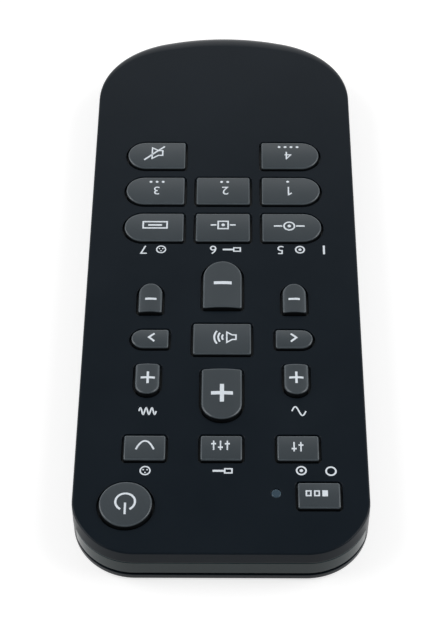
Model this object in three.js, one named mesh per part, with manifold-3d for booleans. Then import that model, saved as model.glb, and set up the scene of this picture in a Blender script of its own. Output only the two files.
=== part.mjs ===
// A slim handheld infrared remote control for audio gear, in millimetres.
// +Z points out of the key face, +Y to the infrared end and +X to the user's right.
// The origin is the centre of the bottom face. The case lies on its back.

import * as THREE from 'three';
import { mergeVertices } from 'three/addons/utils/BufferGeometryUtils.js';
import Module from 'manifold-3d';

const wasm = await Module();
wasm.setup();

// Case outline, seen from above
const CASE_WIDTH = 53.4;
const FRONT_CORNER_RADIUS = 11.5;
const TAIL_CORNER_RADIUS = 18;
const TAIL_END_RADIUS = 47;

// Case walls and the bands seen on its edge
const WALL = 1.3;
const FACE_PLATE = 1.2;
const FLOOR_PLATE = 1.2;
const FACE_EDGE_RADIUS = 0.55;
const TAIL_ROLL_LENGTH = 4.5;
const TAIL_ROLL_DROP = 3;
const INNER_EDGE_RADIUS = 0.3;
const BASE_EDGE_HEIGHT = 1.9;
const BASE_EDGE_RADIUS = 0.8;
const SHADOW_GAP = 0.4;

// How far round each tail corner the rolled edge takes to grow, in degrees
const ROLL_GROWTH_ANGLE = 50;

// Infrared window, which wraps the front end and both front corners
const WINDOW_HEIGHT = 3.4;
const WINDOW_FIT = 0.1;
const WINDOW_BODY = 1.6;
const WINDOW_LIP = 0.8;
const WINDOW_LIP_HEIGHT = 0.6;
const WINDOW_WRAP_ANGLE = 68;
const WINDOW_LIP_ANGLE = 5;

// Keys: plan sizes, from the user's left to right and from the tail to the front
const DIGIT_KEY_WIDTH = 11.9;
const MIDDLE_DIGIT_KEY_WIDTH = 10.9;
const DIGIT_KEY_LENGTH = 7.5;
const TONE_KEY_WIDTH = 4.6;
const TONE_KEY_LENGTH = 7.1;
const VOLUME_STEP_KEY_WIDTH = 7.6;
const VOLUME_STEP_KEY_LENGTH = 11.7;
const VOLUME_KEY_WIDTH = 11.1;
const VOLUME_KEY_LENGTH = 7.5;
const BALANCE_KEY_WIDTH = 7.1;
const BALANCE_KEY_LENGTH = 4.5;
const FUNCTION_KEY_WIDTH = 7.6;
const FUNCTION_KEY_LENGTH = 5.5;
const POWER_KEY_DIAMETER = 9.5;
const KEY_CORNER_RADIUS = 0.45;

// Keys: places
const DIGIT_COLUMN = 13.85;
const TONE_COLUMN = 14;
const BALANCE_COLUMN = 13.8;
const FUNCTION_COLUMN = 14;
const DIGIT_ROW_PITCH = 10;
const DIGIT_ROWS_TO_BALANCE_LINE = 28.55;
const VOLUME_STEP_REACH = 13.3;
const TONE_STEP_REACH = 9.85;
const BALANCE_LINE_TO_FUNCTION_ROW = 25.3;
const FUNCTION_ROW_TO_SELECT = 10.25;
const FUNCTION_ROW_TO_POWER = 12.35;
const FUNCTION_ROW_TO_FRONT = 22.75;
const SELECT_FROM_SIDE = 9.13;
const POWER_FROM_SIDE = 9.7;

// Keys: heights, travel and play
const KEY_PROUD = 0.55;
const CROWNED_KEY_PROUD = 0.5;
const KEY_CROWN = 0.4;
const POWER_KEY_PROUD = 0.85;
const KEY_EDGE_RADIUS = 0.35;
const KEY_GAP = 0.6;
const KEY_FLANGE_OVERLAP = 0.3;
const KEY_FLANGE = 0.6;
const KEY_PLAY = 0.1;

// Indicator beside the select key
const INDICATOR_FROM_SELECT = 7.67;
const INDICATOR_DIAMETER = 1.8;
const INDICATOR_FLANGE_DIAMETER = 3;
const INDICATOR_FLANGE = 0.6;
const INDICATOR_FIT = 0.05;
const INDICATOR_SUNK = 0.05;
const LAMP_LENGTH = 1.6;
const LAMP_WIDTH = 0.8;
const LAMP_HEIGHT = 0.6;

// Keypad mat with its domes and contact pills
const MAT_WEB = 0.5;
const MAT_INSET = 3.4;
const DOME_RADIUS = 2.5;
const DOME_TOP_RADIUS = 1.8;
const DOME_HEIGHT = 0.85;
const DOME_TOP_WALL = 0.55;
const DOME_HOLLOW_RADIUS = 1.9;
const DOME_PLAY = 0.15;
const PILL_RADIUS = 1.5;
const PILL_THICKNESS = 0.3;
const MAT_CLEARANCE = 0.3;

// Circuit board and what it carries
const BOARD_THICKNESS = 1;
const UNDER_BOARD_ROOM = 2.4;
const BOARD_INSET = 2.7;
const BOARD_PAST_LAST_ROW = 7.75;
const MAT_PAST_LAST_ROW = 6.75;
const BOARD_TAIL_TO_TRAY = 0.5;
const CHIP_LENGTH = 9.7;
const CHIP_WIDTH = 4.4;
const CHIP_HEIGHT = 1.1;
const CHIP_STANDOFF = 0.1;
const CHIP_LEG_PITCH = 0.95;
const CHIP_LEG_WIDTH = 0.4;
const CHIP_LEG_REACH = 1;
const CHIP_LEG_THICKNESS = 0.25;
const CHIP_LEG_PAIRS = 10;
const RESONATOR_LENGTH = 3.2;
const RESONATOR_WIDTH = 1.3;
const RESONATOR_HEIGHT = 1.2;
const CAPACITOR_LENGTH = 3.5;
const CAPACITOR_WIDTH = 2.8;
const CAPACITOR_HEIGHT = 1.9;
const TRANSISTOR_LENGTH = 2.9;
const TRANSISTOR_WIDTH = 1.3;
const TRANSISTOR_HEIGHT = 0.9;
const TRANSISTOR_LEG_SPREAD = 1.9;
const BOARD_PART_SPACING = 9;

// Infrared emitter
const EMITTER_RADIUS = 1.5;
const EMITTER_LENGTH = 5.2;
const EMITTER_FLANGE_RADIUS = 1.9;
const EMITTER_FLANGE = 1;
const EMITTER_TO_WINDOW = 0.5;
const EMITTER_AXIS_BELOW_BOARD_TOP = 0.5;
const EMITTER_LEAD_SPREAD = 2.54;
const EMITTER_LEAD_WIDTH = 0.5;
const EMITTER_LEAD_LENGTH = 3.4;
const EMITTER_CLEARANCE = 0.5;

// Board screws and their bosses
const BOSS_RADIUS = 1.6;
const BOSS_FROM_SIDE = 4.2;
const BOSS_PAST_LAST_ROW = 5.9;
const BOSS_BEFORE_BALANCE_LINE = 15;
const BOSS_BEFORE_FUNCTION_ROW = 6.3;
const SCREW_RADIUS = 0.7;
const SCREW_FIT = 0.1;
const SCREW_IN_BOSS = 1.6;
const SCREW_HEAD_RADIUS = 1.3;
const SCREW_HEAD = 0.8;
const SCREW_SLOT_WIDTH = 0.4;
const SCREW_SLOT_DEPTH = 0.4;

// Lower shell's tongue, snaps and posts
const TONGUE_FIT = 0.3;
const TONGUE_THICKNESS = 0.8;
const TONGUE_HEIGHT = 2;
const TONGUE_FRONT_GAP_ANGLE = 8;
const SNAP_LENGTH = 6;
const SNAP_DEPTH = 0.5;
const SNAP_HEIGHT = 0.4;
const SNAP_ABOVE_SKIRT = 0.2;
const SNAP_CLEARANCE = 0.2;
const POST_RADIUS = 1.2;
const POST_CLEARANCE = 0.3;
const POST_COLUMN = 15;

// Coin cell, its tray and its contacts
const CELL_DIAMETER = 20;
const CELL_THICKNESS = 2.5;
const CELL_CAP_DIAMETER = 17.2;
const CELL_CAP_HEIGHT = 0.2;
const CELL_EDGE_RADIUS = 0.25;
const TRAY_FLOOR = 0.8;
const TRAY_WALL = 1.2;
const TRAY_END_WALL = 2.05;
const TRAY_CELL_CLEARANCE = 0.3;
const TRAY_RUNNING_GAP = 0.3;
const TRAY_SIDE_HEIGHT = 2.3;
const TRAY_ARM_LENGTH = 6.5;
const TRAY_ARM_TO_BOARD = 0.8;
const TRAY_PAST_CELL = 0.7;
const TRAY_CONTACT_OPENING = 10;
const TRAY_SLOT_GAP = 0.2;
const TRAY_GROOVE_LENGTH = 9;
const TRAY_GROOVE_DEPTH = 0.6;
const TRAY_GROOVE_HEIGHT = 0.7;
const NAIL_NOTCH_RADIUS = 6;
const NAIL_NOTCH_DEPTH = 3;
const RAIL_WIDTH = 1;
const RAIL_HEIGHT = 3.2;
const RAIL_END_INSET = 3.4;
const HOLD_DOWN_WIDTH = 0.9;
const HOLD_DOWN_GAP = 0.3;
const HOLD_DOWN_LENGTH = 16;
const CONTACT_THICKNESS = 0.2;
const CONTACT_WIDTH = 4;
const CONTACT_GAP = 0.3;
const CONTACT_FOOT = 3.4;
const PLUS_CONTACT_LENGTH = 2;
const MINUS_CONTACT_REACH = 9;
const MINUS_CONTACT_OFFSET = 5;
const BOARD_TO_CONTACT = 0.6;

// How finely round shapes are faceted, and how far a cut runs past what it cuts
const CORNER_STEPS = 10;
const TAIL_STEPS = 8;
const ROLL_STEPS = 5;
const EDGE_STEPS = 3;
const KEY_ROUND_STEPS = 5;
const KEY_CORNER_STEPS = 2;
const KEY_EDGE_STEPS = 2;
const CROWN_STEPS = 4;
const CIRCLE_SIDES = 24;
const SMALL_CIRCLE_SIDES = 12;
const DOME_SIDES = 8;
const OVERRUN = 1;
const CROWN_RING_SHARES = [0.66, 0.33];
const SNAP_PLACE_SHARES = [0.16, 0.5, 0.84];

const QUARTER_TURN = Math.PI / 2;
const degrees = THREE.MathUtils.degToRad;

// Heights, stacked up from the bottom face
const floorTop = FLOOR_PLATE;
const boardBottom = floorTop + UNDER_BOARD_ROOM;
const boardTop = boardBottom + BOARD_THICKNESS;
const matTop = boardTop + MAT_WEB;
const domeTop = matTop + DOME_HEIGHT;
const keyBottom = domeTop + DOME_PLAY;
const flangeTop = keyBottom + KEY_FLANGE;
const plateBottom = flangeTop + KEY_PLAY;
const faceHeight = plateBottom + FACE_PLATE;
const skirtBottom = BASE_EDGE_HEIGHT + SHADOW_GAP;
const windowTop = skirtBottom + WINDOW_HEIGHT;
const tongueTop = BASE_EDGE_HEIGHT + TONGUE_HEIGHT;
const trayBottom = floorTop + TRAY_RUNNING_GAP;
const cellBottom = trayBottom + TRAY_FLOOR;
const cellTop = cellBottom + CELL_THICKNESS;
const traySideTop = cellBottom + TRAY_SIDE_HEIGHT;
const slotTop = cellTop + TRAY_SLOT_GAP;

// Lengths, stacked up from the tail to the front
const cellToTail = TRAY_END_WALL + TRAY_CELL_CLEARANCE + CELL_DIAMETER;
const lastRowToTail =
  BOARD_PAST_LAST_ROW + TRAY_ARM_TO_BOARD + TRAY_ARM_LENGTH + TRAY_PAST_CELL + cellToTail;
const digitRowsToFront =
  DIGIT_ROWS_TO_BALANCE_LINE + BALANCE_LINE_TO_FUNCTION_ROW + FUNCTION_ROW_TO_FRONT;
const caseLength = lastRowToTail + 2 * DIGIT_ROW_PITCH + digitRowsToFront;
const halfWidth = CASE_WIDTH / 2;
const frontY = caseLength / 2;
const tailY = -caseLength / 2;
const lastRowY = tailY + lastRowToTail;
const digitRowY = [0, 1, 2].map((row) => lastRowY + row * DIGIT_ROW_PITCH);
const balanceLineY = digitRowY[2] + DIGIT_ROWS_TO_BALANCE_LINE;
const functionRowY = balanceLineY + BALANCE_LINE_TO_FUNCTION_ROW;
const selectY = functionRowY + FUNCTION_ROW_TO_SELECT;
const selectX = SELECT_FROM_SIDE - halfWidth;
const indicatorX = selectX + INDICATOR_FROM_SELECT;
const boardTailY = lastRowY - BOARD_PAST_LAST_ROW;
const trayArmEndY = boardTailY - TRAY_ARM_TO_BOARD;
const trayBodyEndY = trayArmEndY - TRAY_ARM_LENGTH;
const cellY = trayBodyEndY - TRAY_PAST_CELL - CELL_DIAMETER / 2;

// Solids from three.js geometry

function solidFrom(geometry) {
  const bare = geometry.clone();
  bare.deleteAttribute('normal');
  bare.deleteAttribute('uv');
  const merged = mergeVertices(bare);
  const vertProperties = new Float32Array(merged.getAttribute('position').array);
  const triVerts = new Uint32Array(merged.getIndex().array);
  return new wasm.Manifold(new wasm.Mesh({ numProp: 3, vertProperties, triVerts }));
}

function geometryFrom(solid) {
  const mesh = solid.getMesh();
  const geometry = new THREE.BufferGeometry();
  geometry.setAttribute('position', new THREE.BufferAttribute(mesh.vertProperties, 3));
  geometry.setIndex(new THREE.BufferAttribute(mesh.triVerts, 1));
  geometry.computeVertexNormals();
  return geometry;
}

const join = (solids) => solids.reduce((whole, piece) => whole.add(piece));
const cut = (solid, tools) => tools.reduce((rest, tool) => rest.subtract(tool), solid);

function box(lowX, highX, lowY, highY, lowZ, highZ) {
  const geometry = new THREE.BoxGeometry(highX - lowX, highY - lowY, highZ - lowZ);
  geometry.translate((lowX + highX) / 2, (lowY + highY) / 2, (lowZ + highZ) / 2);
  return solidFrom(geometry);
}

function cylinder(x, y, radius, lowZ, highZ, sides = SMALL_CIRCLE_SIDES, topRadius = radius) {
  const geometry = new THREE.CylinderGeometry(topRadius, radius, highZ - lowZ, sides);
  geometry.rotateX(QUARTER_TURN);
  geometry.translate(x, y, (lowZ + highZ) / 2);
  return solidFrom(geometry);
}

function extrusion(points, lowZ, highZ) {
  const shape = new THREE.Shape(points);
  const geometry = new THREE.ExtrudeGeometry(shape, { depth: highZ - lowZ, bevelEnabled: false });
  geometry.translate(0, 0, lowZ);
  return solidFrom(geometry);
}

// A closed body through rings of points with the same count, from the lowest ring up.
// A top point closes it with a fan; without one, flat caps close both ends.
function loft(rings, topPoint = null) {
  const count = rings[0].length;
  const points = rings.flat();
  const faces = [];
  for (let level = 0; level + 1 < rings.length; level += 1) {
    for (let side = 0; side < count; side += 1) {
      const low = level * count + side;
      const lowNext = level * count + ((side + 1) % count);
      faces.push([low, lowNext, lowNext + count]);
      faces.push([low, lowNext + count, low + count]);
    }
  }
  const flat = (ring) => ring.map((point) => new THREE.Vector2(point.x, point.y));
  const lastStart = (rings.length - 1) * count;
  for (const [a, b, c] of THREE.ShapeUtils.triangulateShape(flat(rings[0]), [])) {
    faces.push([a, c, b]);
  }
  if (topPoint) {
    points.push(topPoint);
    for (let side = 0; side < count; side += 1) {
      faces.push([lastStart + side, lastStart + ((side + 1) % count), points.length - 1]);
    }
  } else {
    for (const face of THREE.ShapeUtils.triangulateShape(flat(rings.at(-1)), [])) {
      faces.push(face.map((corner) => corner + lastStart));
    }
  }
  const geometry = new THREE.BufferGeometry().setFromPoints(points);
  geometry.setIndex(faces.flat());
  return solidFrom(geometry);
}

// Outlines are lists of samples: a point and the direction that faces outwards there

function arc(centreX, centreY, radius, startAngle, endAngle, steps) {
  return Array.from({ length: steps + 1 }, (_, step) => {
    const angle = startAngle + ((endAngle - startAngle) * step) / steps;
    const outX = Math.cos(angle);
    const outY = Math.sin(angle);
    return { x: centreX + radius * outX, y: centreY + radius * outY, outX, outY };
  });
}

const inset = (sample, distance) =>
  new THREE.Vector2(sample.x - sample.outX * distance, sample.y - sample.outY * distance);

function ring(samples, distance, height) {
  return samples.map((sample) => {
    const point = inset(sample, distance);
    return new THREE.Vector3(point.x, point.y, height);
  });
}

const prism = (samples, distance, lowZ, highZ) =>
  loft([ring(samples, distance, lowZ), ring(samples, distance, highZ)]);

// A strip that follows an open run of samples between two insets
function strip(samples, outerInset, innerInset, lowZ, highZ) {
  const outer = samples.map((sample) => inset(sample, outerInset));
  const inner = samples.map((sample) => inset(sample, innerInset)).reverse();
  return extrusion([...outer, ...inner], lowZ, highZ);
}

const frontCentreX = halfWidth - FRONT_CORNER_RADIUS;
const frontCentreY = frontY - FRONT_CORNER_RADIUS;
const tailCentreX = halfWidth - TAIL_CORNER_RADIUS;
const tailRadiusDifference = TAIL_END_RADIUS - TAIL_CORNER_RADIUS;
const tailBlendAngle = Math.acos(tailCentreX / tailRadiusDifference);
const tailCentreY = tailY + TAIL_END_RADIUS - tailRadiusDifference * Math.sin(tailBlendAngle);

function caseOutline() {
  const left = Math.PI;
  const right = 2 * Math.PI;
  const tailLeftEnd = left + tailBlendAngle;
  const tailRightStart = right - tailBlendAngle;
  const frontRight = arc(frontCentreX, frontCentreY, FRONT_CORNER_RADIUS, 0, QUARTER_TURN, CORNER_STEPS);
  const frontLeft = arc(-frontCentreX, frontCentreY, FRONT_CORNER_RADIUS, QUARTER_TURN, left, CORNER_STEPS);
  const tailLeft = arc(-tailCentreX, tailCentreY, TAIL_CORNER_RADIUS, left, tailLeftEnd, TAIL_STEPS);
  const tailEnd = arc(0, tailY + TAIL_END_RADIUS, TAIL_END_RADIUS, tailLeftEnd, tailRightStart, TAIL_STEPS);
  const tailRight = arc(tailCentreX, tailCentreY, TAIL_CORNER_RADIUS, tailRightStart, right, TAIL_STEPS);
  return [...frontRight, ...frontLeft, ...tailLeft, ...tailEnd.slice(1, -1), ...tailRight];
}

// The run of the outline round the front, as far as an angle from straight ahead on both sides
function frontRun(wrapAngle) {
  const start = QUARTER_TURN - wrapAngle;
  const right = arc(frontCentreX, frontCentreY, FRONT_CORNER_RADIUS, start, QUARTER_TURN, CORNER_STEPS);
  const end = QUARTER_TURN + wrapAngle;
  const left = arc(-frontCentreX, frontCentreY, FRONT_CORNER_RADIUS, QUARTER_TURN, end, CORNER_STEPS);
  return [...right, ...left];
}

// A rectangle about the origin with its own radius at each corner:
// front right, front left, tail left, tail right
function roundedOutline(width, length, radii) {
  const signs = [[1, 1], [-1, 1], [-1, -1], [1, -1]];
  const samples = signs.flatMap(([signX, signY], corner) => {
    const radius = radii[corner];
    const steps = radius > KEY_CORNER_RADIUS ? KEY_ROUND_STEPS : KEY_CORNER_STEPS;
    const centreX = signX * (width / 2 - radius);
    const centreY = signY * (length / 2 - radius);
    return arc(centreX, centreY, radius, corner * QUARTER_TURN, (corner + 1) * QUARTER_TURN, steps);
  });
  return samples.filter((sample, index) => {
    const last = samples.at(index - 1);
    return Math.hypot(sample.x - last.x, sample.y - last.y) > KEY_CORNER_RADIUS / CIRCLE_SIDES;
  });
}

// The same outline with its straight runs across X divided, so that a crown can bend them
function divideStraightEnds(samples) {
  return samples.flatMap((sample, index) => {
    const next = samples.at((index + 1) % samples.length);
    const straight = sample.outX * next.outX + sample.outY * next.outY > 1 - Number.EPSILON;
    const across = Math.abs(sample.outY) > Math.abs(sample.outX);
    const steps = straight && across ? CROWN_STEPS : 1;
    return Array.from({ length: steps }, (_, step) =>
      ({ ...sample, x: THREE.MathUtils.lerp(sample.x, next.x, step / steps) }));
  });
}

const outline = caseOutline();

// Upper shell: a lofted skin whose top edge rolls over further at the tail

function rollShare(sample) {
  const fromSide = Math.asin(Math.max(0, -sample.outY));
  return THREE.MathUtils.smoothstep(fromSide, 0, degrees(ROLL_GROWTH_ANGLE));
}

function rolledRings(edgeInset, topHeight, lengthAt, dropAt, startHeight) {
  const bottom = ring(outline, edgeInset, startHeight);
  const rolled = Array.from({ length: ROLL_STEPS + 1 }, (_, step) => {
    const angle = (QUARTER_TURN * step) / ROLL_STEPS;
    return outline.map((sample) => {
      const share = rollShare(sample);
      const point = inset(sample, edgeInset + lengthAt(share) * (1 - Math.cos(angle)));
      return new THREE.Vector3(point.x, point.y, topHeight - dropAt(share) * (1 - Math.sin(angle)));
    });
  });
  return [bottom, ...rolled];
}

const rollLength = (share) => THREE.MathUtils.lerp(FACE_EDGE_RADIUS, TAIL_ROLL_LENGTH, share);
const rollDrop = (share) => THREE.MathUtils.lerp(FACE_EDGE_RADIUS, TAIL_ROLL_DROP, share);
const innerLength = (share) => Math.max(rollLength(share) - WALL, INNER_EDGE_RADIUS);
const innerDrop = (share) => Math.max(rollDrop(share) - FACE_PLATE, INNER_EDGE_RADIUS);

const bossX = halfWidth - BOSS_FROM_SIDE;
const bossY = [
  lastRowY - BOSS_PAST_LAST_ROW,
  balanceLineY - BOSS_BEFORE_BALANCE_LINE,
  functionRowY - BOSS_BEFORE_FUNCTION_ROW,
];
const bossPlaces = bossY.flatMap((y) => [[-bossX, y], [bossX, y]]);

const sideLowY = tailCentreY;
const sideLength = frontCentreY - tailCentreY;
const snapPlaces = SNAP_PLACE_SHARES.map((share) => sideLowY + sideLength * share);
const trayHalfWidth = CELL_DIAMETER / 2 + TRAY_CELL_CLEARANCE + TRAY_WALL;
const slotHalfWidth = trayHalfWidth + TRAY_RUNNING_GAP;
const windowWrap = degrees(WINDOW_WRAP_ANGLE);

function traySlot() {
  return box(-slotHalfWidth, slotHalfWidth, tailY - OVERRUN, trayBodyEndY, floorTop, slotTop);
}

function upperShell() {
  const skin = loft(rolledRings(0, faceHeight, rollLength, rollDrop, skirtBottom));
  const hollow = loft(rolledRings(WALL, plateBottom, innerLength, innerDrop, skirtBottom - OVERRUN));
  const keyOpenings = keys.map((key) =>
    prism(key.outline, -KEY_GAP, plateBottom - OVERRUN, faceHeight + OVERRUN).translate([key.x, key.y, 0]));
  const indicatorHole = cylinder(indicatorX, selectY, INDICATOR_DIAMETER / 2 + INDICATOR_FIT,
    plateBottom - OVERRUN, faceHeight + OVERRUN, CIRCLE_SIDES);
  const windowCut = strip(frontRun(windowWrap), -OVERRUN, WALL + INNER_EDGE_RADIUS,
    skirtBottom - OVERRUN, windowTop);
  const shell = cut(skin, [hollow, ...keyOpenings, indicatorHole, windowCut, traySlot()]);

  const bosses = bossPlaces.map(([x, y]) =>
    cylinder(x, y, BOSS_RADIUS, boardTop, plateBottom + FACE_PLATE / 2));
  const bossHoles = bossPlaces.map(([x, y]) =>
    cylinder(x, y, SCREW_RADIUS + SCREW_FIT, boardTop - OVERRUN, boardTop + SCREW_IN_BOSS + SCREW_FIT));
  const snapBottom = skirtBottom + SNAP_ABOVE_SKIRT;
  const snapInnerX = halfWidth - WALL - SNAP_DEPTH;
  const snapOuterX = halfWidth - WALL / 2;
  const snaps = snapPlaces.flatMap((y) => [-1, 1].map((side) => {
    const low = Math.min(side * snapInnerX, side * snapOuterX);
    const high = Math.max(side * snapInnerX, side * snapOuterX);
    return box(low, high, y - SNAP_LENGTH / 2, y + SNAP_LENGTH / 2, snapBottom, snapBottom + SNAP_HEIGHT);
  }));
  const ribOuterX = trayHalfWidth;
  const ribInnerX = trayHalfWidth - HOLD_DOWN_WIDTH;
  const ribs = [[-ribOuterX, -ribInnerX], [ribInnerX, ribOuterX]].map(([low, high]) =>
    box(low, high, trayBodyEndY - HOLD_DOWN_LENGTH, trayBodyEndY,
      traySideTop + HOLD_DOWN_GAP, plateBottom + FACE_PLATE / 2));
  return cut(join([shell, ...bosses, ...snaps, ...ribs]), bossHoles);
}

// Lower shell: a shallow pan with a tongue that stands inside the upper shell's skirt

function lowerShell() {
  const edgeRings = Array.from({ length: EDGE_STEPS + 1 }, (_, step) => {
    const angle = (QUARTER_TURN * step) / EDGE_STEPS;
    return ring(outline, BASE_EDGE_RADIUS * (1 - Math.sin(angle)), BASE_EDGE_RADIUS * (1 - Math.cos(angle)));
  });
  const pan = loft([...edgeRings, ring(outline, 0, BASE_EDGE_HEIGHT)]);
  const tongueOuter = WALL + TONGUE_FIT;
  const tongueInner = tongueOuter + TONGUE_THICKNESS;
  const tongue = prism(outline, tongueOuter, floorTop, tongueTop);
  const hollow = prism(outline, tongueInner, floorTop, tongueTop + OVERRUN);
  const frontGap = strip(frontRun(windowWrap + degrees(TONGUE_FRONT_GAP_ANGLE)), WALL,
    tongueInner + TONGUE_FIT, BASE_EDGE_HEIGHT, tongueTop + OVERRUN);
  const recessBottom = BASE_EDGE_HEIGHT + SNAP_CLEARANCE;
  const recessTop = skirtBottom + SNAP_ABOVE_SKIRT + SNAP_HEIGHT + SNAP_CLEARANCE;
  const recesses = snapPlaces.flatMap((y) => [-1, 1].map((side) => {
    const low = Math.min(side * (halfWidth - WALL), side * (halfWidth - tongueInner - TONGUE_FIT));
    const high = Math.max(side * (halfWidth - WALL), side * (halfWidth - tongueInner - TONGUE_FIT));
    const reach = SNAP_LENGTH / 2 + SNAP_CLEARANCE;
    return box(low, high, y - reach, y + reach, recessBottom, recessTop);
  }));
  const nailNotch = cylinder(0, tailY - NAIL_NOTCH_RADIUS + NAIL_NOTCH_DEPTH, NAIL_NOTCH_RADIUS,
    -OVERRUN, floorTop + OVERRUN, CIRCLE_SIDES);
  const shell = cut(pan.add(tongue), [hollow, frontGap, ...recesses, traySlot(), nailNotch]);

  const railStart = tailY + RAIL_END_INSET;
  const rails = [-1, 1].map((side) => {
    const near = side * slotHalfWidth;
    const far = side * (slotHalfWidth + RAIL_WIDTH);
    return box(Math.min(near, far), Math.max(near, far), railStart, trayArmEndY,
      floorTop / 2, floorTop + RAIL_HEIGHT);
  });
  const postLine = [
    digitRowY[0] + DIGIT_ROW_PITCH / 2,
    balanceLineY - POST_COLUMN,
    balanceLineY + POST_COLUMN,
  ];
  const posts = postLine.flatMap((y) => [-POST_COLUMN, POST_COLUMN].map((x) =>
    cylinder(x, y, POST_RADIUS, floorTop / 2, boardBottom - POST_CLEARANCE)));
  return join([shell, ...rails, ...posts]);
}

// Infrared window: its body is flush with the case, its lip bears on the skirt from inside

function infraredWindow() {
  const fitAngle = WINDOW_FIT / FRONT_CORNER_RADIUS;
  const body = strip(frontRun(windowWrap - fitAngle), 0, WINDOW_BODY, skirtBottom, windowTop - WINDOW_FIT);
  const lip = strip(frontRun(windowWrap + degrees(WINDOW_LIP_ANGLE)), WALL + WINDOW_FIT,
    WALL + WINDOW_FIT + WINDOW_LIP, skirtBottom, windowTop + WINDOW_LIP_HEIGHT);
  return body.add(lip);
}

// Keys

const square = [KEY_CORNER_RADIUS, KEY_CORNER_RADIUS, KEY_CORNER_RADIUS, KEY_CORNER_RADIUS];
const roundRight = (length) => [length / 2, KEY_CORNER_RADIUS, KEY_CORNER_RADIUS, length / 2];
const roundLeft = (length) => [KEY_CORNER_RADIUS, length / 2, length / 2, KEY_CORNER_RADIUS];
const roundFront = (width) => [width / 2, width / 2, KEY_CORNER_RADIUS, KEY_CORNER_RADIUS];
const roundTail = (width) => [KEY_CORNER_RADIUS, KEY_CORNER_RADIUS, width / 2, width / 2];

function key(name, x, y, width, length, radii, proud = KEY_PROUD, crown = 0) {
  const plain = roundedOutline(width, length, radii);
  return { name, x, y, width, proud, crown, outline: crown > 0 ? divideStraightEnds(plain) : plain };
}

const digitKey = (name, side, row) => key(name, side * DIGIT_COLUMN, digitRowY[row],
  side ? DIGIT_KEY_WIDTH : MIDDLE_DIGIT_KEY_WIDTH, DIGIT_KEY_LENGTH,
  [roundLeft(DIGIT_KEY_LENGTH), square, roundRight(DIGIT_KEY_LENGTH)][side + 1]);

const stepKey = (name, x, direction, reach, width, length) =>
  key(name, x, balanceLineY + direction * reach, width, length,
    direction > 0 ? roundFront(width) : roundTail(width), CROWNED_KEY_PROUD, KEY_CROWN);

const toneKey = (name, side, direction) =>
  stepKey(name, side * TONE_COLUMN, direction, TONE_STEP_REACH, TONE_KEY_WIDTH, TONE_KEY_LENGTH);

const volumeStepKey = (name, direction) =>
  stepKey(name, 0, direction, VOLUME_STEP_REACH, VOLUME_STEP_KEY_WIDTH, VOLUME_STEP_KEY_LENGTH);

const balanceKey = (name, side, roundSide) => key(name, side * BALANCE_COLUMN, balanceLineY,
  BALANCE_KEY_WIDTH, BALANCE_KEY_LENGTH, roundSide(BALANCE_KEY_LENGTH));

const functionKey = (name, x, y) => key(name, x, y, FUNCTION_KEY_WIDTH, FUNCTION_KEY_LENGTH, square);

const powerRadius = POWER_KEY_DIAMETER / 2;
const keys = [
  digitKey('key_4', -1, 0),
  digitKey('key_mute', 1, 0),
  digitKey('key_1', -1, 1),
  digitKey('key_2', 0, 1),
  digitKey('key_3', 1, 1),
  digitKey('key_5', -1, 2),
  digitKey('key_6', 0, 2),
  digitKey('key_7', 1, 2),
  toneKey('key_bass_down', -1, -1),
  toneKey('key_bass_up', -1, 1),
  toneKey('key_treble_down', 1, -1),
  toneKey('key_treble_up', 1, 1),
  volumeStepKey('key_volume_down', -1),
  volumeStepKey('key_volume_up', 1),
  key('key_volume', 0, balanceLineY, VOLUME_KEY_WIDTH, VOLUME_KEY_LENGTH, square),
  balanceKey('key_left', -1, roundLeft),
  balanceKey('key_right', 1, roundRight),
  functionKey('key_tone', -FUNCTION_COLUMN, functionRowY),
  functionKey('key_equalizer', 0, functionRowY),
  functionKey('key_loudness', FUNCTION_COLUMN, functionRowY),
  functionKey('key_select', selectX, selectY),
  key('key_power', halfWidth - POWER_FROM_SIDE, functionRowY + FUNCTION_ROW_TO_POWER, POWER_KEY_DIAMETER,
    POWER_KEY_DIAMETER, [powerRadius, powerRadius, powerRadius, powerRadius], POWER_KEY_PROUD),
];

// A cap with a flange that the face plate holds back, a rounded edge and, on the step keys, a crown across
function keyCap({ x, y, width, proud, crown, outline: samples }) {
  const edgeHeight = faceHeight + proud;
  const crownAt = (pointX) => crown * (1 - (2 * pointX / width) ** 2);
  const raise = (points) => points.map((point) =>
    new THREE.Vector3(point.x, point.y, point.z + crownAt(point.x)));
  const flangeReach = KEY_GAP + KEY_FLANGE_OVERLAP;
  const rounded = Array.from({ length: KEY_EDGE_STEPS + 1 }, (_, step) => {
    const angle = (QUARTER_TURN * step) / KEY_EDGE_STEPS;
    return raise(ring(samples, KEY_EDGE_RADIUS * (1 - Math.cos(angle)),
      edgeHeight - KEY_EDGE_RADIUS * (1 - Math.sin(angle))));
  });
  const body = [ring(samples, 0, keyBottom), ...rounded];
  const inner = CROWN_RING_SHARES.map((share) => raise(ring(samples, KEY_EDGE_RADIUS, edgeHeight)
    .map((point) => new THREE.Vector3(point.x * share, point.y * share, point.z))));
  const cap = crown > 0
    ? loft([...body, ...inner], new THREE.Vector3(0, 0, edgeHeight + crown))
    : loft(body);
  return cap.add(prism(samples, -flangeReach, keyBottom, flangeTop)).translate([x, y, 0]);
}

// Indicator lens and its lamp

function indicatorLens() {
  const stem = cylinder(indicatorX, selectY, INDICATOR_DIAMETER / 2, plateBottom - INDICATOR_FLANGE,
    faceHeight - INDICATOR_SUNK, CIRCLE_SIDES);
  const flange = cylinder(indicatorX, selectY, INDICATOR_FLANGE_DIAMETER / 2,
    plateBottom - KEY_PLAY - INDICATOR_FLANGE, plateBottom - KEY_PLAY, CIRCLE_SIDES);
  return stem.add(flange);
}

function block(x, y, length, width, lowZ, highZ) {
  return box(x - length / 2, x + length / 2, y - width / 2, y + width / 2, lowZ, highZ);
}

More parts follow.
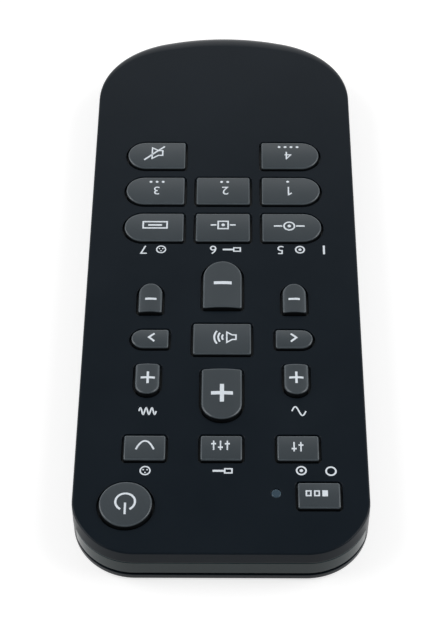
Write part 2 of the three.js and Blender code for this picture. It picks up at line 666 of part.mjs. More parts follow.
const indicatorLamp = () =>
  block(indicatorX, selectY, LAMP_LENGTH, LAMP_WIDTH, boardTop, boardTop + LAMP_HEIGHT);

// Keypad mat: a web on the board with a hollow dome under each key,
// and a contact pill moulded into each dome

const windowInnerY = frontY - WALL - WINDOW_FIT - WINDOW_LIP;
const emitterTipY = windowInnerY - EMITTER_TO_WINDOW;
const emitterBackY = emitterTipY - EMITTER_LENGTH;
const emitterZ = boardTop - EMITTER_AXIS_BELOW_BOARD_TOP;
const emitterSide = EMITTER_FLANGE_RADIUS + EMITTER_CLEARANCE;

function behindLastRow(past) {
  return box(-halfWidth - OVERRUN, halfWidth + OVERRUN, tailY - OVERRUN, lastRowY - past, 0, faceHeight);
}

function keypadMat() {
  const web = prism(outline, MAT_INSET, boardTop, matTop);
  const domes = keys.map(({ x, y }) =>
    cylinder(x, y, DOME_RADIUS, boardTop, domeTop, DOME_SIDES, DOME_TOP_RADIUS));
  const hollows = keys.map(({ x, y }) =>
    cylinder(x, y, DOME_HOLLOW_RADIUS, boardTop - OVERRUN, domeTop - DOME_TOP_WALL, DOME_SIDES));
  const emitterBay = box(-emitterSide, emitterSide, emitterBackY - EMITTER_LEAD_LENGTH - MAT_CLEARANCE,
    frontY, 0, faceHeight);
  const lampHole = cylinder(indicatorX, selectY, LAMP_LENGTH / 2 + MAT_CLEARANCE, 0, faceHeight);
  const bossRooms = bossPlaces.map(([x, y]) =>
    cylinder(x, y, BOSS_RADIUS + MAT_CLEARANCE, 0, faceHeight));
  const clearings = [...hollows, emitterBay, lampHole, ...bossRooms, behindLastRow(MAT_PAST_LAST_ROW)];
  const bare = cut(join([web, ...domes]), clearings);
  const pillBottom = domeTop - DOME_TOP_WALL - PILL_THICKNESS;
  const pills = keys.map(({ x, y }) =>
    cylinder(x, y, PILL_RADIUS, pillBottom, domeTop - DOME_TOP_WALL / 2, DOME_SIDES));
  return join([bare, ...pills]);
}

// Circuit board and the pieces soldered to it

const boardTailEndY = trayBodyEndY + TRAY_RUNNING_GAP;

function circuitBoard() {
  const whole = prism(outline, BOARD_INSET, boardBottom, boardTop);
  const plate = whole.subtract(behindLastRow(BOARD_PAST_LAST_ROW));
  const tailHalfWidth = trayHalfWidth - TRAY_WALL - BOARD_TAIL_TO_TRAY;
  const tail = box(-tailHalfWidth, tailHalfWidth, boardTailEndY, boardTailY + OVERRUN,
    boardBottom, boardTop);
  const emitterNotch = box(-emitterSide, emitterSide, emitterBackY - EMITTER_CLEARANCE, frontY,
    0, faceHeight);
  const screwHoles = bossPlaces.map(([x, y]) =>
    cylinder(x, y, SCREW_RADIUS + SCREW_FIT, 0, faceHeight));
  return cut(plate.add(tail), [emitterNotch, ...screwHoles]);
}

function chipLeg(x, lowY, highY) {
  const halfLeg = CHIP_LEG_WIDTH / 2;
  return box(x - halfLeg, x + halfLeg, lowY, highY, boardBottom - CHIP_LEG_THICKNESS, boardBottom);
}

function controllerChip(x, y) {
  const top = boardBottom - CHIP_STANDOFF;
  const body = block(x, y, CHIP_LENGTH, CHIP_WIDTH, top - CHIP_HEIGHT, top);
  const reach = CHIP_WIDTH / 2 + CHIP_LEG_REACH;
  const legs = Array.from({ length: CHIP_LEG_PAIRS }, (_, index) => {
    const legX = x + (index - (CHIP_LEG_PAIRS - 1) / 2) * CHIP_LEG_PITCH;
    return chipLeg(legX, y - reach, y + reach);
  });
  return join([body, ...legs]);
}

const resonator = (y) =>
  block(0, y, RESONATOR_LENGTH, RESONATOR_WIDTH, boardBottom - RESONATOR_HEIGHT, boardBottom);

const capacitor = (y) =>
  block(0, y, CAPACITOR_LENGTH, CAPACITOR_WIDTH, boardBottom - CAPACITOR_HEIGHT, boardBottom);

function driverTransistor(x, y) {
  const top = boardBottom - CHIP_STANDOFF;
  const body = block(x, y, TRANSISTOR_LENGTH, TRANSISTOR_WIDTH, top - TRANSISTOR_HEIGHT, top);
  const reach = TRANSISTOR_WIDTH / 2 + CHIP_LEG_REACH / 2;
  const spread = TRANSISTOR_LEG_SPREAD / 2;
  return join([
    body,
    chipLeg(x, y, y + reach),
    chipLeg(x - spread, y - reach, y),
    chipLeg(x + spread, y - reach, y),
  ]);
}

function emitter() {
  const domeStart = EMITTER_LENGTH - EMITTER_RADIUS;
  const dome = Array.from({ length: EDGE_STEPS }, (_, step) => {
    const angle = (QUARTER_TURN * step) / EDGE_STEPS;
    return new THREE.Vector2(EMITTER_RADIUS * Math.cos(angle), domeStart + EMITTER_RADIUS * Math.sin(angle));
  });
  const profile = [
    new THREE.Vector2(0, 0),
    new THREE.Vector2(EMITTER_FLANGE_RADIUS, 0),
    new THREE.Vector2(EMITTER_FLANGE_RADIUS, EMITTER_FLANGE),
    new THREE.Vector2(EMITTER_RADIUS, EMITTER_FLANGE),
    ...dome,
    new THREE.Vector2(0, EMITTER_LENGTH),
  ];
  const geometry = new THREE.LatheGeometry(profile, SMALL_CIRCLE_SIDES);
  geometry.translate(0, emitterBackY, emitterZ);
  const leads = [-1, 1].map((side) => {
    const x = (side * EMITTER_LEAD_SPREAD) / 2;
    return box(x - EMITTER_LEAD_WIDTH / 2, x + EMITTER_LEAD_WIDTH / 2, emitterBackY - EMITTER_LEAD_LENGTH,
      emitterBackY + EMITTER_FLANGE / 2, boardTop, boardTop + EMITTER_LEAD_WIDTH);
  });
  return join([solidFrom(geometry), ...leads]);
}

function boardScrew(x, y) {
  const shank = cylinder(x, y, SCREW_RADIUS, boardBottom - SCREW_HEAD / 2, boardTop + SCREW_IN_BOSS);
  const head = cylinder(x, y, SCREW_HEAD_RADIUS, boardBottom - SCREW_HEAD, boardBottom);
  const slotBottom = boardBottom - SCREW_HEAD;
  const slot = box(x - SCREW_HEAD_RADIUS - OVERRUN, x + SCREW_HEAD_RADIUS + OVERRUN,
    y - SCREW_SLOT_WIDTH / 2, y + SCREW_SLOT_WIDTH / 2, slotBottom - OVERRUN, slotBottom + SCREW_SLOT_DEPTH);
  return cut(head.add(shank), [slot]);
}

// Coin cell, the tray it slides out in and the two spring contacts

function coinCell() {
  const radius = CELL_DIAMETER / 2;
  const capRadius = CELL_CAP_DIAMETER / 2;
  const canTop = cellTop - CELL_CAP_HEIGHT;
  const can = cylinder(0, cellY, radius, cellBottom + CELL_EDGE_RADIUS, canTop, CIRCLE_SIDES);
  const foot = cylinder(0, cellY, radius - CELL_EDGE_RADIUS, cellBottom,
    cellBottom + CELL_EDGE_RADIUS, CIRCLE_SIDES, radius);
  const cap = cylinder(0, cellY, capRadius, canTop - CELL_CAP_HEIGHT, cellTop, CIRCLE_SIDES);
  return join([can, foot, cap]);
}

function batteryTray() {
  const endTop = slotTop - TRAY_SLOT_GAP;
  const sideBlock = box(-trayHalfWidth, trayHalfWidth, tailY, trayArmEndY, trayBottom, traySideTop);
  const endBlock = box(-trayHalfWidth, trayHalfWidth, tailY, cellY - CELL_DIAMETER / 2 - TRAY_CELL_CLEARANCE,
    trayBottom, endTop);
  const pocket = cylinder(0, cellY, CELL_DIAMETER / 2 + TRAY_CELL_CLEARANCE,
    cellBottom, faceHeight, CIRCLE_SIDES);
  const opening = TRAY_CONTACT_OPENING / 2;
  const contactBay = box(-opening, opening, cellY, trayArmEndY + OVERRUN, cellBottom, faceHeight);
  const armInner = trayHalfWidth - TRAY_WALL;
  const betweenArms = box(-armInner, armInner, trayBodyEndY, trayArmEndY + OVERRUN, 0, faceHeight);
  const groove = box(-TRAY_GROOVE_LENGTH / 2, TRAY_GROOVE_LENGTH / 2, tailY - OVERRUN,
    tailY + TRAY_GROOVE_DEPTH, trayBottom - OVERRUN, trayBottom + TRAY_GROOVE_HEIGHT);
  const block = sideBlock.add(endBlock).intersect(prism(outline, 0, 0, faceHeight));
  return cut(block, [pocket, contactBay, betweenArms, groove]);
}

// A bent strip, drawn from the side as Y against Z and given its width along X
function bentStrip(centreX, profile) {
  const shape = new THREE.Shape(profile.map(([y, z]) => new THREE.Vector2(y, z)));
  const geometry = new THREE.ExtrudeGeometry(shape, { depth: CONTACT_WIDTH, bevelEnabled: false });
  const axes = new THREE.Matrix4().makeBasis(
    new THREE.Vector3(0, 1, 0), new THREE.Vector3(0, 0, 1), new THREE.Vector3(1, 0, 0));
  geometry.applyMatrix4(axes);
  geometry.translate(centreX - CONTACT_WIDTH / 2, 0, 0);
  return solidFrom(geometry);
}

function plusContact() {
  const touchY = cellY + CELL_DIAMETER / 2 + CONTACT_GAP;
  const footTop = boardTop + CONTACT_THICKNESS;
  const footEnd = boardTailEndY + CONTACT_FOOT;
  return bentStrip(0, [
    [footEnd, boardTop],
    [touchY + CONTACT_THICKNESS, boardTop],
    [touchY + CONTACT_THICKNESS, boardTop - PLUS_CONTACT_LENGTH],
    [touchY, boardTop - PLUS_CONTACT_LENGTH],
    [touchY, footTop],
    [footEnd, footTop],
  ]);
}

function minusContact() {
  const armBottom = cellTop + CONTACT_GAP;
  const bend = boardTailEndY + CONTACT_FOOT - BOARD_TO_CONTACT;
  const rampEnd = boardTailEndY;
  const tip = rampEnd - MINUS_CONTACT_REACH;
  const footEnd = boardTailEndY + 2 * CONTACT_FOOT;
  return bentStrip(-MINUS_CONTACT_OFFSET, [
    [footEnd, boardTop],
    [bend, boardTop],
    [rampEnd, armBottom],
    [tip, armBottom],
    [tip, armBottom + CONTACT_THICKNESS],
    [rampEnd, armBottom + CONTACT_THICKNESS],
    [bend, boardTop + CONTACT_THICKNESS],
    [footEnd, boardTop + CONTACT_THICKNESS],
  ]);
}

// Materials, from the photograph where the piece shows

const material = (color, roughness, metalness = 0) =>
  new THREE.MeshStandardMaterial({ color, roughness, metalness });

const casePlastic = material('#1d2126', 0.55);
const windowPlastic = material('#2b3034', 0.12);
const keyPlastic = material('#474d51', 0.45);
const indicatorPlastic = material('#30414f', 0.2);
const siliconeRubber = material('#8f9396', 0.7);
const boardLaminate = material('#1f4a2c', 0.5);
const epoxy = material('#17181a', 0.6);
const ceramic = material('#b98a3a', 0.5);
const emitterResin = material('#2a2433', 0.15);
const lampResin = material('#dfe3e6', 0.3);
const steel = material('#b9bcc0', 0.3, 1);
const nickel = material('#c9cbce', 0.25, 1);

const remote = new THREE.Group();

function add(name, solid, finish) {
  const mesh = new THREE.Mesh(geometryFrom(solid), finish);
  mesh.name = name;
  remote.add(mesh);
}

const chipY = balanceLineY;
add('case_top', upperShell(), casePlastic);
add('case_bottom', lowerShell(), casePlastic);
add('ir_window', infraredWindow(), windowPlastic);
add('indicator_lens', indicatorLens(), indicatorPlastic);
keys.forEach((entry) => add(entry.name, keyCap(entry), keyPlastic));
add('keypad_mat', keypadMat(), siliconeRubber);
add('circuit_board', circuitBoard(), boardLaminate);
bossPlaces.forEach(([x, y], index) => add(`board_screw_${index + 1}`, boardScrew(x, y), steel));
add('controller_chip', controllerChip(0, chipY), epoxy);
add('resonator', resonator(chipY + BOARD_PART_SPACING), ceramic);
add('capacitor', capacitor(boardTailY + BOARD_PART_SPACING), ceramic);
add('driver_transistor', driverTransistor(0, emitterBackY - BOARD_PART_SPACING), epoxy);
add('ir_emitter', emitter(), emitterResin);
add('indicator_led', indicatorLamp(), lampResin);
add('battery_tray', batteryTray(), casePlastic);
add('coin_cell', coinCell(), steel);
add('contact_plus', plusContact(), nickel);
add('contact_minus', minusContact(), nickel);

export default remote;
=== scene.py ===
# %% [markdown]
# # A handheld infrared remote control
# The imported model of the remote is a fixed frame: every piece is there at its real size
# and place, but with coarse curves and no finish. This lesson models the surfaces that
# show again on top of it, with fine curves, and gives each piece its material.

# %% Load the frame and measure it
import math

import bmesh
import bpy
from mathutils import Matrix, Vector


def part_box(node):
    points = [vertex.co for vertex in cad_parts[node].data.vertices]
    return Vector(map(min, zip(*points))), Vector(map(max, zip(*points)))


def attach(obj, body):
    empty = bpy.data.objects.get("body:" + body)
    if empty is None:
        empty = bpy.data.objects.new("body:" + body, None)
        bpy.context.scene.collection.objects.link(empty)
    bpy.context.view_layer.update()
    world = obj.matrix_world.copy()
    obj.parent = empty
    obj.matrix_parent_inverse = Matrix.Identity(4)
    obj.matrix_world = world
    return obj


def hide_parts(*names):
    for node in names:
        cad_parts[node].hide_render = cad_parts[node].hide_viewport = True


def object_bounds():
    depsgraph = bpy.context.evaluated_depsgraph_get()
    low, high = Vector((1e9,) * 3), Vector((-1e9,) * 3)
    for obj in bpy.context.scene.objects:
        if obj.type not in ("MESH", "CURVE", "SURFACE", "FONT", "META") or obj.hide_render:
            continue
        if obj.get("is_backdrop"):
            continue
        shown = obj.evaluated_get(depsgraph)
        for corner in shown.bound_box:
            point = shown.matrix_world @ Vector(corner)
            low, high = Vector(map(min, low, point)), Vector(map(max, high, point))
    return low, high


MM = 0.001
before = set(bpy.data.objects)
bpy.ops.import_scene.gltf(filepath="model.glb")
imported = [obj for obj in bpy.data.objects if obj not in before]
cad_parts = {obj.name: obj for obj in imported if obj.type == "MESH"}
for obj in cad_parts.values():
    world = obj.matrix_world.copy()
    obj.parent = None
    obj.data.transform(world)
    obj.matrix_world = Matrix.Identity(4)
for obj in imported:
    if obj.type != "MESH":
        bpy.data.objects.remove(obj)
cad_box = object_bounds()
case_low, case_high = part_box("case_top")
half_width = case_high.x
front_y = case_high.y
tail_y = case_low.y
face_z = case_high.z
skirt_z = case_low.z
base_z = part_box("case_bottom")[0].z
print("case", [round(size / MM, 2) for size in case_high - case_low], "mm")

# %% [markdown]
# ## The camera
# The photograph looks down at the infrared end from a good arm's length, through a long
# lens. The camera stands at that place and turns to one target point. A very small roll
# is added last, because the remote in the photograph isn't quite upright.

# %% Place the camera
CAMERA_PLACE = Vector((-1.93, 230.97, 277.8)) * MM
CAMERA_TARGET = Vector((0.25, 12.43, 8.55)) * MM
CAMERA_ROLL = math.radians(-0.29)
CAMERA_LENS = 104.0
CAMERA_SENSOR = 36.0
CAMERA_NEAREST = 10 * MM


def deselect():
    """Leaves nothing selected, because operators act on all that is"""
    bpy.ops.object.select_all(action="DESELECT")


def turn_towards(place, target, roll=0.0):
    """The turn that points an object's -Z axis from its place at a target"""
    heading = (target - place).to_track_quat("-Z", "Y")
    return (heading.to_matrix() @ Matrix.Rotation(roll, 3, "Z")).to_euler()


deselect()
bpy.ops.object.camera_add(
    location=CAMERA_PLACE,
    rotation=turn_towards(CAMERA_PLACE, CAMERA_TARGET, CAMERA_ROLL),
)
camera = bpy.context.object
camera.data.lens = CAMERA_LENS
camera.data.sensor_width = CAMERA_SENSOR
camera.data.clip_start = CAMERA_NEAREST
bpy.context.scene.camera = camera
print("camera", round((CAMERA_PLACE - CAMERA_TARGET).length / MM, 1), "mm from its target")

# %% [markdown]
# ## Working by hand in code
# Edit mode operators act on what is selected. These helpers enter edit mode on one
# piece, and select its points, edges or faces by a test of their place.

# %% Helpers for edit mode
SAME_POINT = 0.001 * MM
QUARTER_TURN = math.pi / 2


def select_pieces(pieces):
    """Selects these pieces alone, and makes the first of them the active one"""
    deselect()
    for piece in pieces:
        piece.select_set(True)
    bpy.context.view_layer.objects.active = pieces[0]


def edit(piece):
    """Enters edit mode on one piece alone"""
    select_pieces([piece])
    bpy.ops.object.mode_set(mode="EDIT")
    bpy.ops.mesh.select_mode(type="VERT")


def leave_edit():
    bpy.ops.object.mode_set(mode="OBJECT")


def merge_doubles():
    """Selects the whole mesh in edit mode and merges the points that lie at one place"""
    bpy.ops.mesh.select_all(action="SELECT")
    bpy.ops.mesh.remove_doubles(threshold=SAME_POINT)


def extrude(x=0, y=0, z=0):
    """Extrudes what is selected in edit mode by a step"""
    bpy.ops.mesh.extrude_region_move(TRANSFORM_OT_translate={"value": (x, y, z)})


def pick(piece, kind, wanted):
    """Selects the points, edges or faces that pass a test, and says how many they are"""
    bpy.ops.mesh.select_mode(type=kind)
    bpy.ops.mesh.select_all(action="DESELECT")
    mesh = bmesh.from_edit_mesh(piece.data)
    parts = {"VERT": mesh.verts, "EDGE": mesh.edges, "FACE": mesh.faces}[kind]
    chosen = [part for part in parts if wanted(part)]
    for part in chosen:
        part.select_set(True)
    mesh.select_flush_mode()
    bmesh.update_edit_mesh(piece.data)
    return len(chosen)


def at_height(part, height):
    """Whether all points of an edge or a face lie at one height"""
    return all(abs(point.co.z - height) < SAME_POINT for point in part.verts)


# %% Helpers for whole pieces


def settle(name):
    """Names the piece just added and puts its place and size into its mesh"""
    piece = bpy.context.object
    piece.name = name
    bpy.ops.object.transform_apply(location=True, rotation=True, scale=True)
    return piece


def apply_modifier(piece, name, kind, **values):
    """Adds a modifier with its values and applies it"""
    select_pieces([piece])
    modifier = piece.modifiers.new(name, kind)
    for key, value in values.items():
        setattr(modifier, key, value)
    bpy.ops.object.modifier_apply(modifier=modifier.name)


def join(pieces):
    """Makes several pieces one mesh"""
    select_pieces(pieces)
    bpy.ops.object.join()
    return pieces[0]


def combine(piece, tool, operation):
    """Cuts a tool out of a piece, fuses it on or keeps what both share, and uses it up"""
    apply_modifier(piece, operation, "BOOLEAN", operation=operation, solver="EXACT", object=tool)
    bpy.data.objects.remove(tool)
    return piece


# %% [markdown]
# Two more helpers add the blocks and round bars that most pieces start from. They are
# tools and stock, never a finished piece: each is shaped, cut or fused afterwards.

# %% Helpers for blocks and round bars
FINE_SIDES = 64


def block(name, low, high):
    """A block between two corners"""
    deselect()
    bpy.ops.mesh.primitive_cube_add(size=1, location=(low + high) / 2, scale=high - low)
    return settle(name)


def round_bar(name, place, radius, low, high, top_radius=None, sides=FINE_SIDES):
    """A cylinder, or a cone where a radius is given for its top"""
    deselect()
    bpy.ops.mesh.primitive_cone_add(
        vertices=sides,
        radius1=radius,
        radius2=radius if top_radius is None else top_radius,
        depth=high - low,
        location=(place.x, place.y, (low + high) / 2),
    )
    return settle(name)


def middle(node):
    low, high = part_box(node)
    return (low + high) / 2


# %% [markdown]
# No moulded edge is quite sharp, so edges are broken with a small bevel. Weighted normals
# keep the flat faces beside a bevel looking flat. A finished piece rides its body, so it
# moves with it, and it takes the place of the plain solids that it stands for.

# %% Helpers for edges and for the finish of a mesh
SMOOTH_ANGLE = math.radians(45)
EDGE_BREAK = 0.12 * MM
EDGE_STEPS = 3


def break_edges(piece, wanted, width=EDGE_BREAK, steps=EDGE_STEPS):
    """Rounds off the edges that pass a test"""
    edit(piece)
    count = pick(piece, "EDGE", wanted)
    bpy.ops.mesh.bevel(offset=width, segments=steps, affect="EDGES", clamp_overlap=True)
    leave_edit()
    return count


def clean_mesh(piece):
    """Merges doubled points and turns every face outwards"""
    edit(piece)
    merge_doubles()
    bpy.ops.mesh.normals_make_consistent(inside=False)
    leave_edit()


def finish_piece(piece, body, slot, *nodes):
    """Cleans a piece's mesh, shades its curves smooth and lets it ride its body"""
    clean_mesh(piece)
    bpy.ops.object.shade_smooth_by_angle(angle=SMOOTH_ANGLE)
    apply_modifier(piece, "flat faces lead", "WEIGHTED_NORMAL", keep_sharp=True)
    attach(piece, body)
    if nodes:
        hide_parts(*nodes)
    mesh = bmesh.new()
    mesh.from_mesh(piece.data)
    loose = sum(1 for edge in mesh.edges if len(edge.link_faces) != 2)
    mesh.free()
    print(piece.name, len(piece.data.polygons), "faces,", loose, "loose edges")


# %% [markdown]
# ## The case outline
# Seen from above, the case is a long plate with round front corners and a tail of three
# arcs: a wide one across the end, and a tighter one at each side. One point is extruded
# along the straight runs and spun round the arcs, for the right half. A mirror makes
# the left half.

# %% Draw the outline
FRONT_CORNER = 11.5 * MM
TAIL_CORNER = 20 * MM
TAIL_END = 45 * MM
ARC_STEPS = 24

front_centre = Vector((half_width - FRONT_CORNER, front_y - FRONT_CORNER))
tail_centre_x = half_width - TAIL_CORNER
tail_blend = math.acos(tail_centre_x / (TAIL_END - TAIL_CORNER))
tail_centre_y = tail_y + TAIL_END - (TAIL_END - TAIL_CORNER) * math.sin(tail_blend)
tail_centre = Vector((tail_centre_x, tail_centre_y))
blend_x = TAIL_END * math.cos(tail_blend)


def spin_round(centre, height, angle):
    """Spins what is selected clockwise, seen from above"""
    bpy.ops.mesh.spin(
        steps=ARC_STEPS, angle=angle, center=(centre.x, centre.y, height), axis=(0, 0, 1)
    )


def case_loop(name):
    """The case outline as one closed loop of edges, which each point remembers"""
    deselect()
    bpy.ops.mesh.primitive_plane_add(size=MM, location=(0, front_y, 0))
    piece = settle(name)
    edit(piece)
    bpy.ops.mesh.merge(type="CENTER")
    extrude(front_centre.x)
    spin_round(front_centre, 0, QUARTER_TURN)
    extrude(y=tail_centre.y - front_centre.y)
    spin_round(tail_centre, 0, tail_blend)
    spin_round(Vector((0, tail_y + TAIL_END)), 0, QUARTER_TURN - tail_blend)
    leave_edit()
    apply_modifier(piece, "left half", "MIRROR", use_clip=True, merge_threshold=SAME_POINT)
    mesh = piece.data
    mesh.attributes.new("outline", "FLOAT_VECTOR", "POINT")
    for point, place in zip(mesh.vertices, mesh.attributes["outline"].data):
        place.vector = point.co
    return piece


# %% Say which way the outline faces


def outward(point):
    """The direction that faces out of the case at a point of its outline"""
    side = math.copysign(1, point.x)
    if point.y > front_centre.y:
        centre = Vector((side * min(abs(point.x), front_centre.x), front_centre.y))
    elif point.y >= tail_centre.y:
        return Vector((side, 0))
    elif abs(point.x) > blend_x:
        centre = Vector((side * tail_centre.x, tail_centre.y))
    else:
        centre = Vector((0, tail_y + TAIL_END))
    return (Vector((point.x, point.y)) - centre).normalized()


# %% [markdown]
# The outline isn't round, so a body with it can't be spun as a whole: it is built ring by
# ring. Each extrude copies the last ring, and a rule then puts every point of the new
# ring at its own inset and height. Flat faces close the first and the last ring.

# %% Build bodies from rings


def ring(inset, height):
    """The rule for a level ring at one inset from the outline"""

    def rule(point):
        place = point.xy - outward(point) * inset
        return Vector((place.x, place.y, height))

    return rule


def place_ring(piece, rule):
    mesh = bmesh.from_edit_mesh(piece.data)
    outline = mesh.verts.layers.float_vector["outline"]
    for point in mesh.verts:
        if point.select:
            point.co = rule(point[outline])
    bmesh.update_edit_mesh(piece.data)


def ringed_body(name, rules):
    """A closed body with one ring for each rule, from the lowest up"""
    piece = case_loop(name)
    edit(piece)
    bpy.ops.mesh.select_all(action="SELECT")
    place_ring(piece, rules[0])
    for rule in rules[1:]:
        bpy.ops.mesh.extrude_edges_move()
        place_ring(piece, rule)
    bpy.ops.mesh.edge_face_add()
    pick(piece, "EDGE", lambda edge: len(edge.link_faces) == 1)
    bpy.ops.mesh.edge_face_add()
    bpy.ops.mesh.select_all(action="SELECT")
    bpy.ops.mesh.normals_make_consistent(inside=False)
    leave_edit()
    return piece


# %% Rules for rounded edges


def quarter_turns(steps):
    """Even steps from 0 to a quarter turn"""
    return [QUARTER_TURN * step / steps for step in range(steps + 1)]


def lower_round(inset, height, radius, steps=EDGE_STEPS):
    """Rules for a rounded lower edge that ends at an inset"""
    return [
        ring(inset + radius * (1 - math.sin(turn)), height + radius * (1 - math.cos(turn)))
        for turn in quarter_turns(steps)
    ]


def upper_round(inset, height, radius, steps=EDGE_STEPS):
    """Rules for a rounded upper edge that starts at an inset"""
    return [
        ring(inset + radius * (1 - math.cos(turn)), height - radius * (1 - math.sin(turn)))
        for turn in quarter_turns(steps)
    ]


# %% [markdown]
# ## The upper shell
# The shell is moulded in one shot: a skirt, a key face and a rim that rolls over
# between them. Along the front and sides the rim is tight, and round the tail it grows
# into a long soft roll. Above the window the front wall leans in a little. A bevel has
# one width all the way round, so a rule sets the rim's rings instead. The same rule with
# smaller sizes makes the hollow that is cut out of the shell.

# %% Roll the rim of the shell
WALL = 1.3 * MM
FACE_PLATE = 1.2 * MM
RIM_LENGTH = 0.38 * MM
RIM_DROP = 0.38 * MM
LEAN_START = 3.7 * MM
WALL_LEAN = 0.42 * MM
LEAN_GROWTH = math.radians(40)
TAIL_ROLL_LENGTH = 4.5 * MM
TAIL_ROLL_DROP = 3.0 * MM
ROLL_GROWTH = math.radians(90)
INNER_RIM = 0.3 * MM
ROLL_STEPS = 12
OVERRUN = 1 * MM

plate_z = face_z - FACE_PLATE


def between(low, high, share):
    return low + (high - low) * share


def share_towards(slope, growth):
    """A soft rise from 0 to 1 as the outline turns towards one end of the case"""
    share = min(1.0, math.asin(max(0.0, min(1.0, slope))) / growth)
    return share * share * (3 - 2 * share)


def roll_share(direction):
    """How much of the tail's roll there is where the outline faces a direction"""
    return share_towards(-direction.y, ROLL_GROWTH)


def outer_roll(share):
    length = between(RIM_LENGTH, TAIL_ROLL_LENGTH, share)
    return length, between(RIM_DROP, TAIL_ROLL_DROP, share)


def inner_roll(share):
    length, drop = outer_roll(share)
    return max(length - WALL, INNER_RIM), max(drop - FACE_PLATE, INNER_RIM)


# %% Rules for the rim and for the wall under it


def rolled_edge(inset, top, roll, lean=0.0):
    """Rules for an edge that rolls over, further at the tail, and leans in at the front"""

    def rule_at(turn):
        def rule(point):
            direction = outward(point)
            length, drop = roll(roll_share(direction))
            reach = inset + lean * share_towards(direction.y, LEAN_GROWTH)
            place = point.xy - direction * (reach + length * (1 - math.cos(turn)))
            return Vector((place.x, place.y, top - drop * (1 - math.sin(turn))))

        return rule

    return [rule_at(turn) for turn in quarter_turns(ROLL_STEPS)]


def lean_foot(point):
    """Where the wall of the shell starts to lean in, always under its roll"""
    drop = outer_roll(roll_share(outward(point)))[1]
    return Vector((point.x, point.y, min(skirt_z + LEAN_START, face_z - drop - EDGE_BREAK)))


# %% Mould the shell and hollow it
outer_rules = lower_round(0, skirt_z, EDGE_BREAK) + [lean_foot]
shell = ringed_body("upper_shell", outer_rules + rolled_edge(0, face_z, outer_roll, WALL_LEAN))
hollow = ringed_body(
    "hollow", [ring(WALL, skirt_z - OVERRUN)] + rolled_edge(WALL, plate_z, inner_roll)
)
combine(shell, hollow, "DIFFERENCE")
print("shell skin", len(shell.data.polygons), "faces")

# %% [markdown]
# ## Openings in the key face
# Each opening has its key's outline, a small gap wider. A block is beveled at its four
# upright corners, each with its own radius, because some keys are square at one end and
# round at the other. The same block, without the gap, is later the key itself.

# %% Choose the outline of each key
KEY_GAP = 0.42 * MM
FLANGE_REACH = 0.9 * MM
KEY_CORNER = 0.45 * MM
CORNER_SIGNS = ((1, 1), (-1, 1), (-1, -1), (1, -1))
ROUND_STEPS = 14
ROUND_CORNERS = {
    "square": (),
    "round_left": (1, 2),
    "round_right": (0, 3),
    "round_front": (0, 1),
    "round_tail": (2, 3),
    "round": (0, 1, 2, 3),
}
KEY_SHAPES = {
    "key_4": "round_left",
    "key_mute": "round_right",
    "key_1": "round_left",
    "key_2": "square",
    "key_3": "round_right",
    "key_5": "round_left",
    "key_6": "square",
    "key_7": "round_right",
    "key_bass_down": "round_tail",
    "key_bass_up": "round_front",
    "key_treble_down": "round_tail",
    "key_treble_up": "round_front",
    "key_volume_down": "round_tail",
    "key_volume_up": "round_front",
    "key_volume": "square",
    "key_left": "round_left",
    "key_right": "round_right",
    "key_tone": "square",
    "key_equalizer": "square",
    "key_loudness": "square",
    "key_select": "square",
    "key_power": "round",
}
print(len(KEY_SHAPES), "keys in", len(ROUND_CORNERS), "outlines")

# %% Cut the key openings


def corner_edge(corner):
    """A test for the upright edge at a corner"""
    return lambda edge: all((point.co.xy - corner).length < SAME_POINT for point in edge.verts)


def key_block(name, key, low_z, high_z, margin):
    """A block with a key's outline, wider by a margin, between two heights"""
    low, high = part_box(key)
    reach = FLANGE_REACH - margin
    low = Vector((low.x + reach, low.y + reach, low_z))
    high = Vector((high.x - reach, high.y - reach, high_z))
    piece = block(name, low, high)
    half = min(high.x - low.x, high.y - low.y) / 2
    round_ones = ROUND_CORNERS[KEY_SHAPES[key]]
    edit(piece)
    for number, (side_x, side_y) in enumerate(CORNER_SIGNS):
        corner = Vector((high.x if side_x > 0 else low.x, high.y if side_y > 0 else low.y))
        pick(piece, "EDGE", corner_edge(corner))
        radius = half if number in round_ones else KEY_CORNER + margin
        bpy.ops.mesh.bevel(offset=radius, segments=ROUND_STEPS, affect="EDGES")
    merge_doubles()
    leave_edit()
    return piece


openings = [
    key_block("opening", key, plate_z - OVERRUN, face_z + OVERRUN, KEY_GAP) for key in KEY_SHAPES
]
combine(shell, join(openings), "DIFFERENCE")
print(len(openings), "key openings")

# %% [markdown]
# ## The band, the lamp hole and the battery slot
# The infrared window wraps the front end and both front corners, so its notch is a
# rectangle extruded along the front and spun round the corner. The slot at the tail
# lets the battery tray out. The lens and its hole stand a little nearer the tail than
# the frame has them, because the photograph shows them there.

# %% Measure the band, the lamp hole and the slot
WINDOW_HEIGHT = 3.4 * MM
WINDOW_WRAP = math.radians(68)
LAMP_HOLE_FIT = 0.05 * MM
LENS_RADIUS = 0.9 * MM
LENS_SHIFT = Vector((0, 0.65, 0)) * MM
FLOOR_PLATE = 1.2 * MM
SLOT_SIDE_GAP = 0.3 * MM
SLOT_TOP_GAP = 0.2 * MM
CELL_TO_BODY_END = 0.7 * MM

window_z = skirt_z + WINDOW_HEIGHT
slot_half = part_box("battery_tray")[1].x + SLOT_SIDE_GAP
slot_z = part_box("battery_tray")[1].z + SLOT_TOP_GAP
slot_end_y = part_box("coin_cell")[1].y + CELL_TO_BODY_END
lens_place = middle("indicator_lens") - LENS_SHIFT
print("slot", round(2 * slot_half / MM, 2), "mm wide, up to", round(slot_z / MM, 2), "mm")

# %% A band that wraps the front


def spans_only(face, place_x):
    """Whether a face lies in one plane across X, as the ends of an extrude do"""
    return all(abs(point.co.x - place_x) < SAME_POINT for point in face.verts)


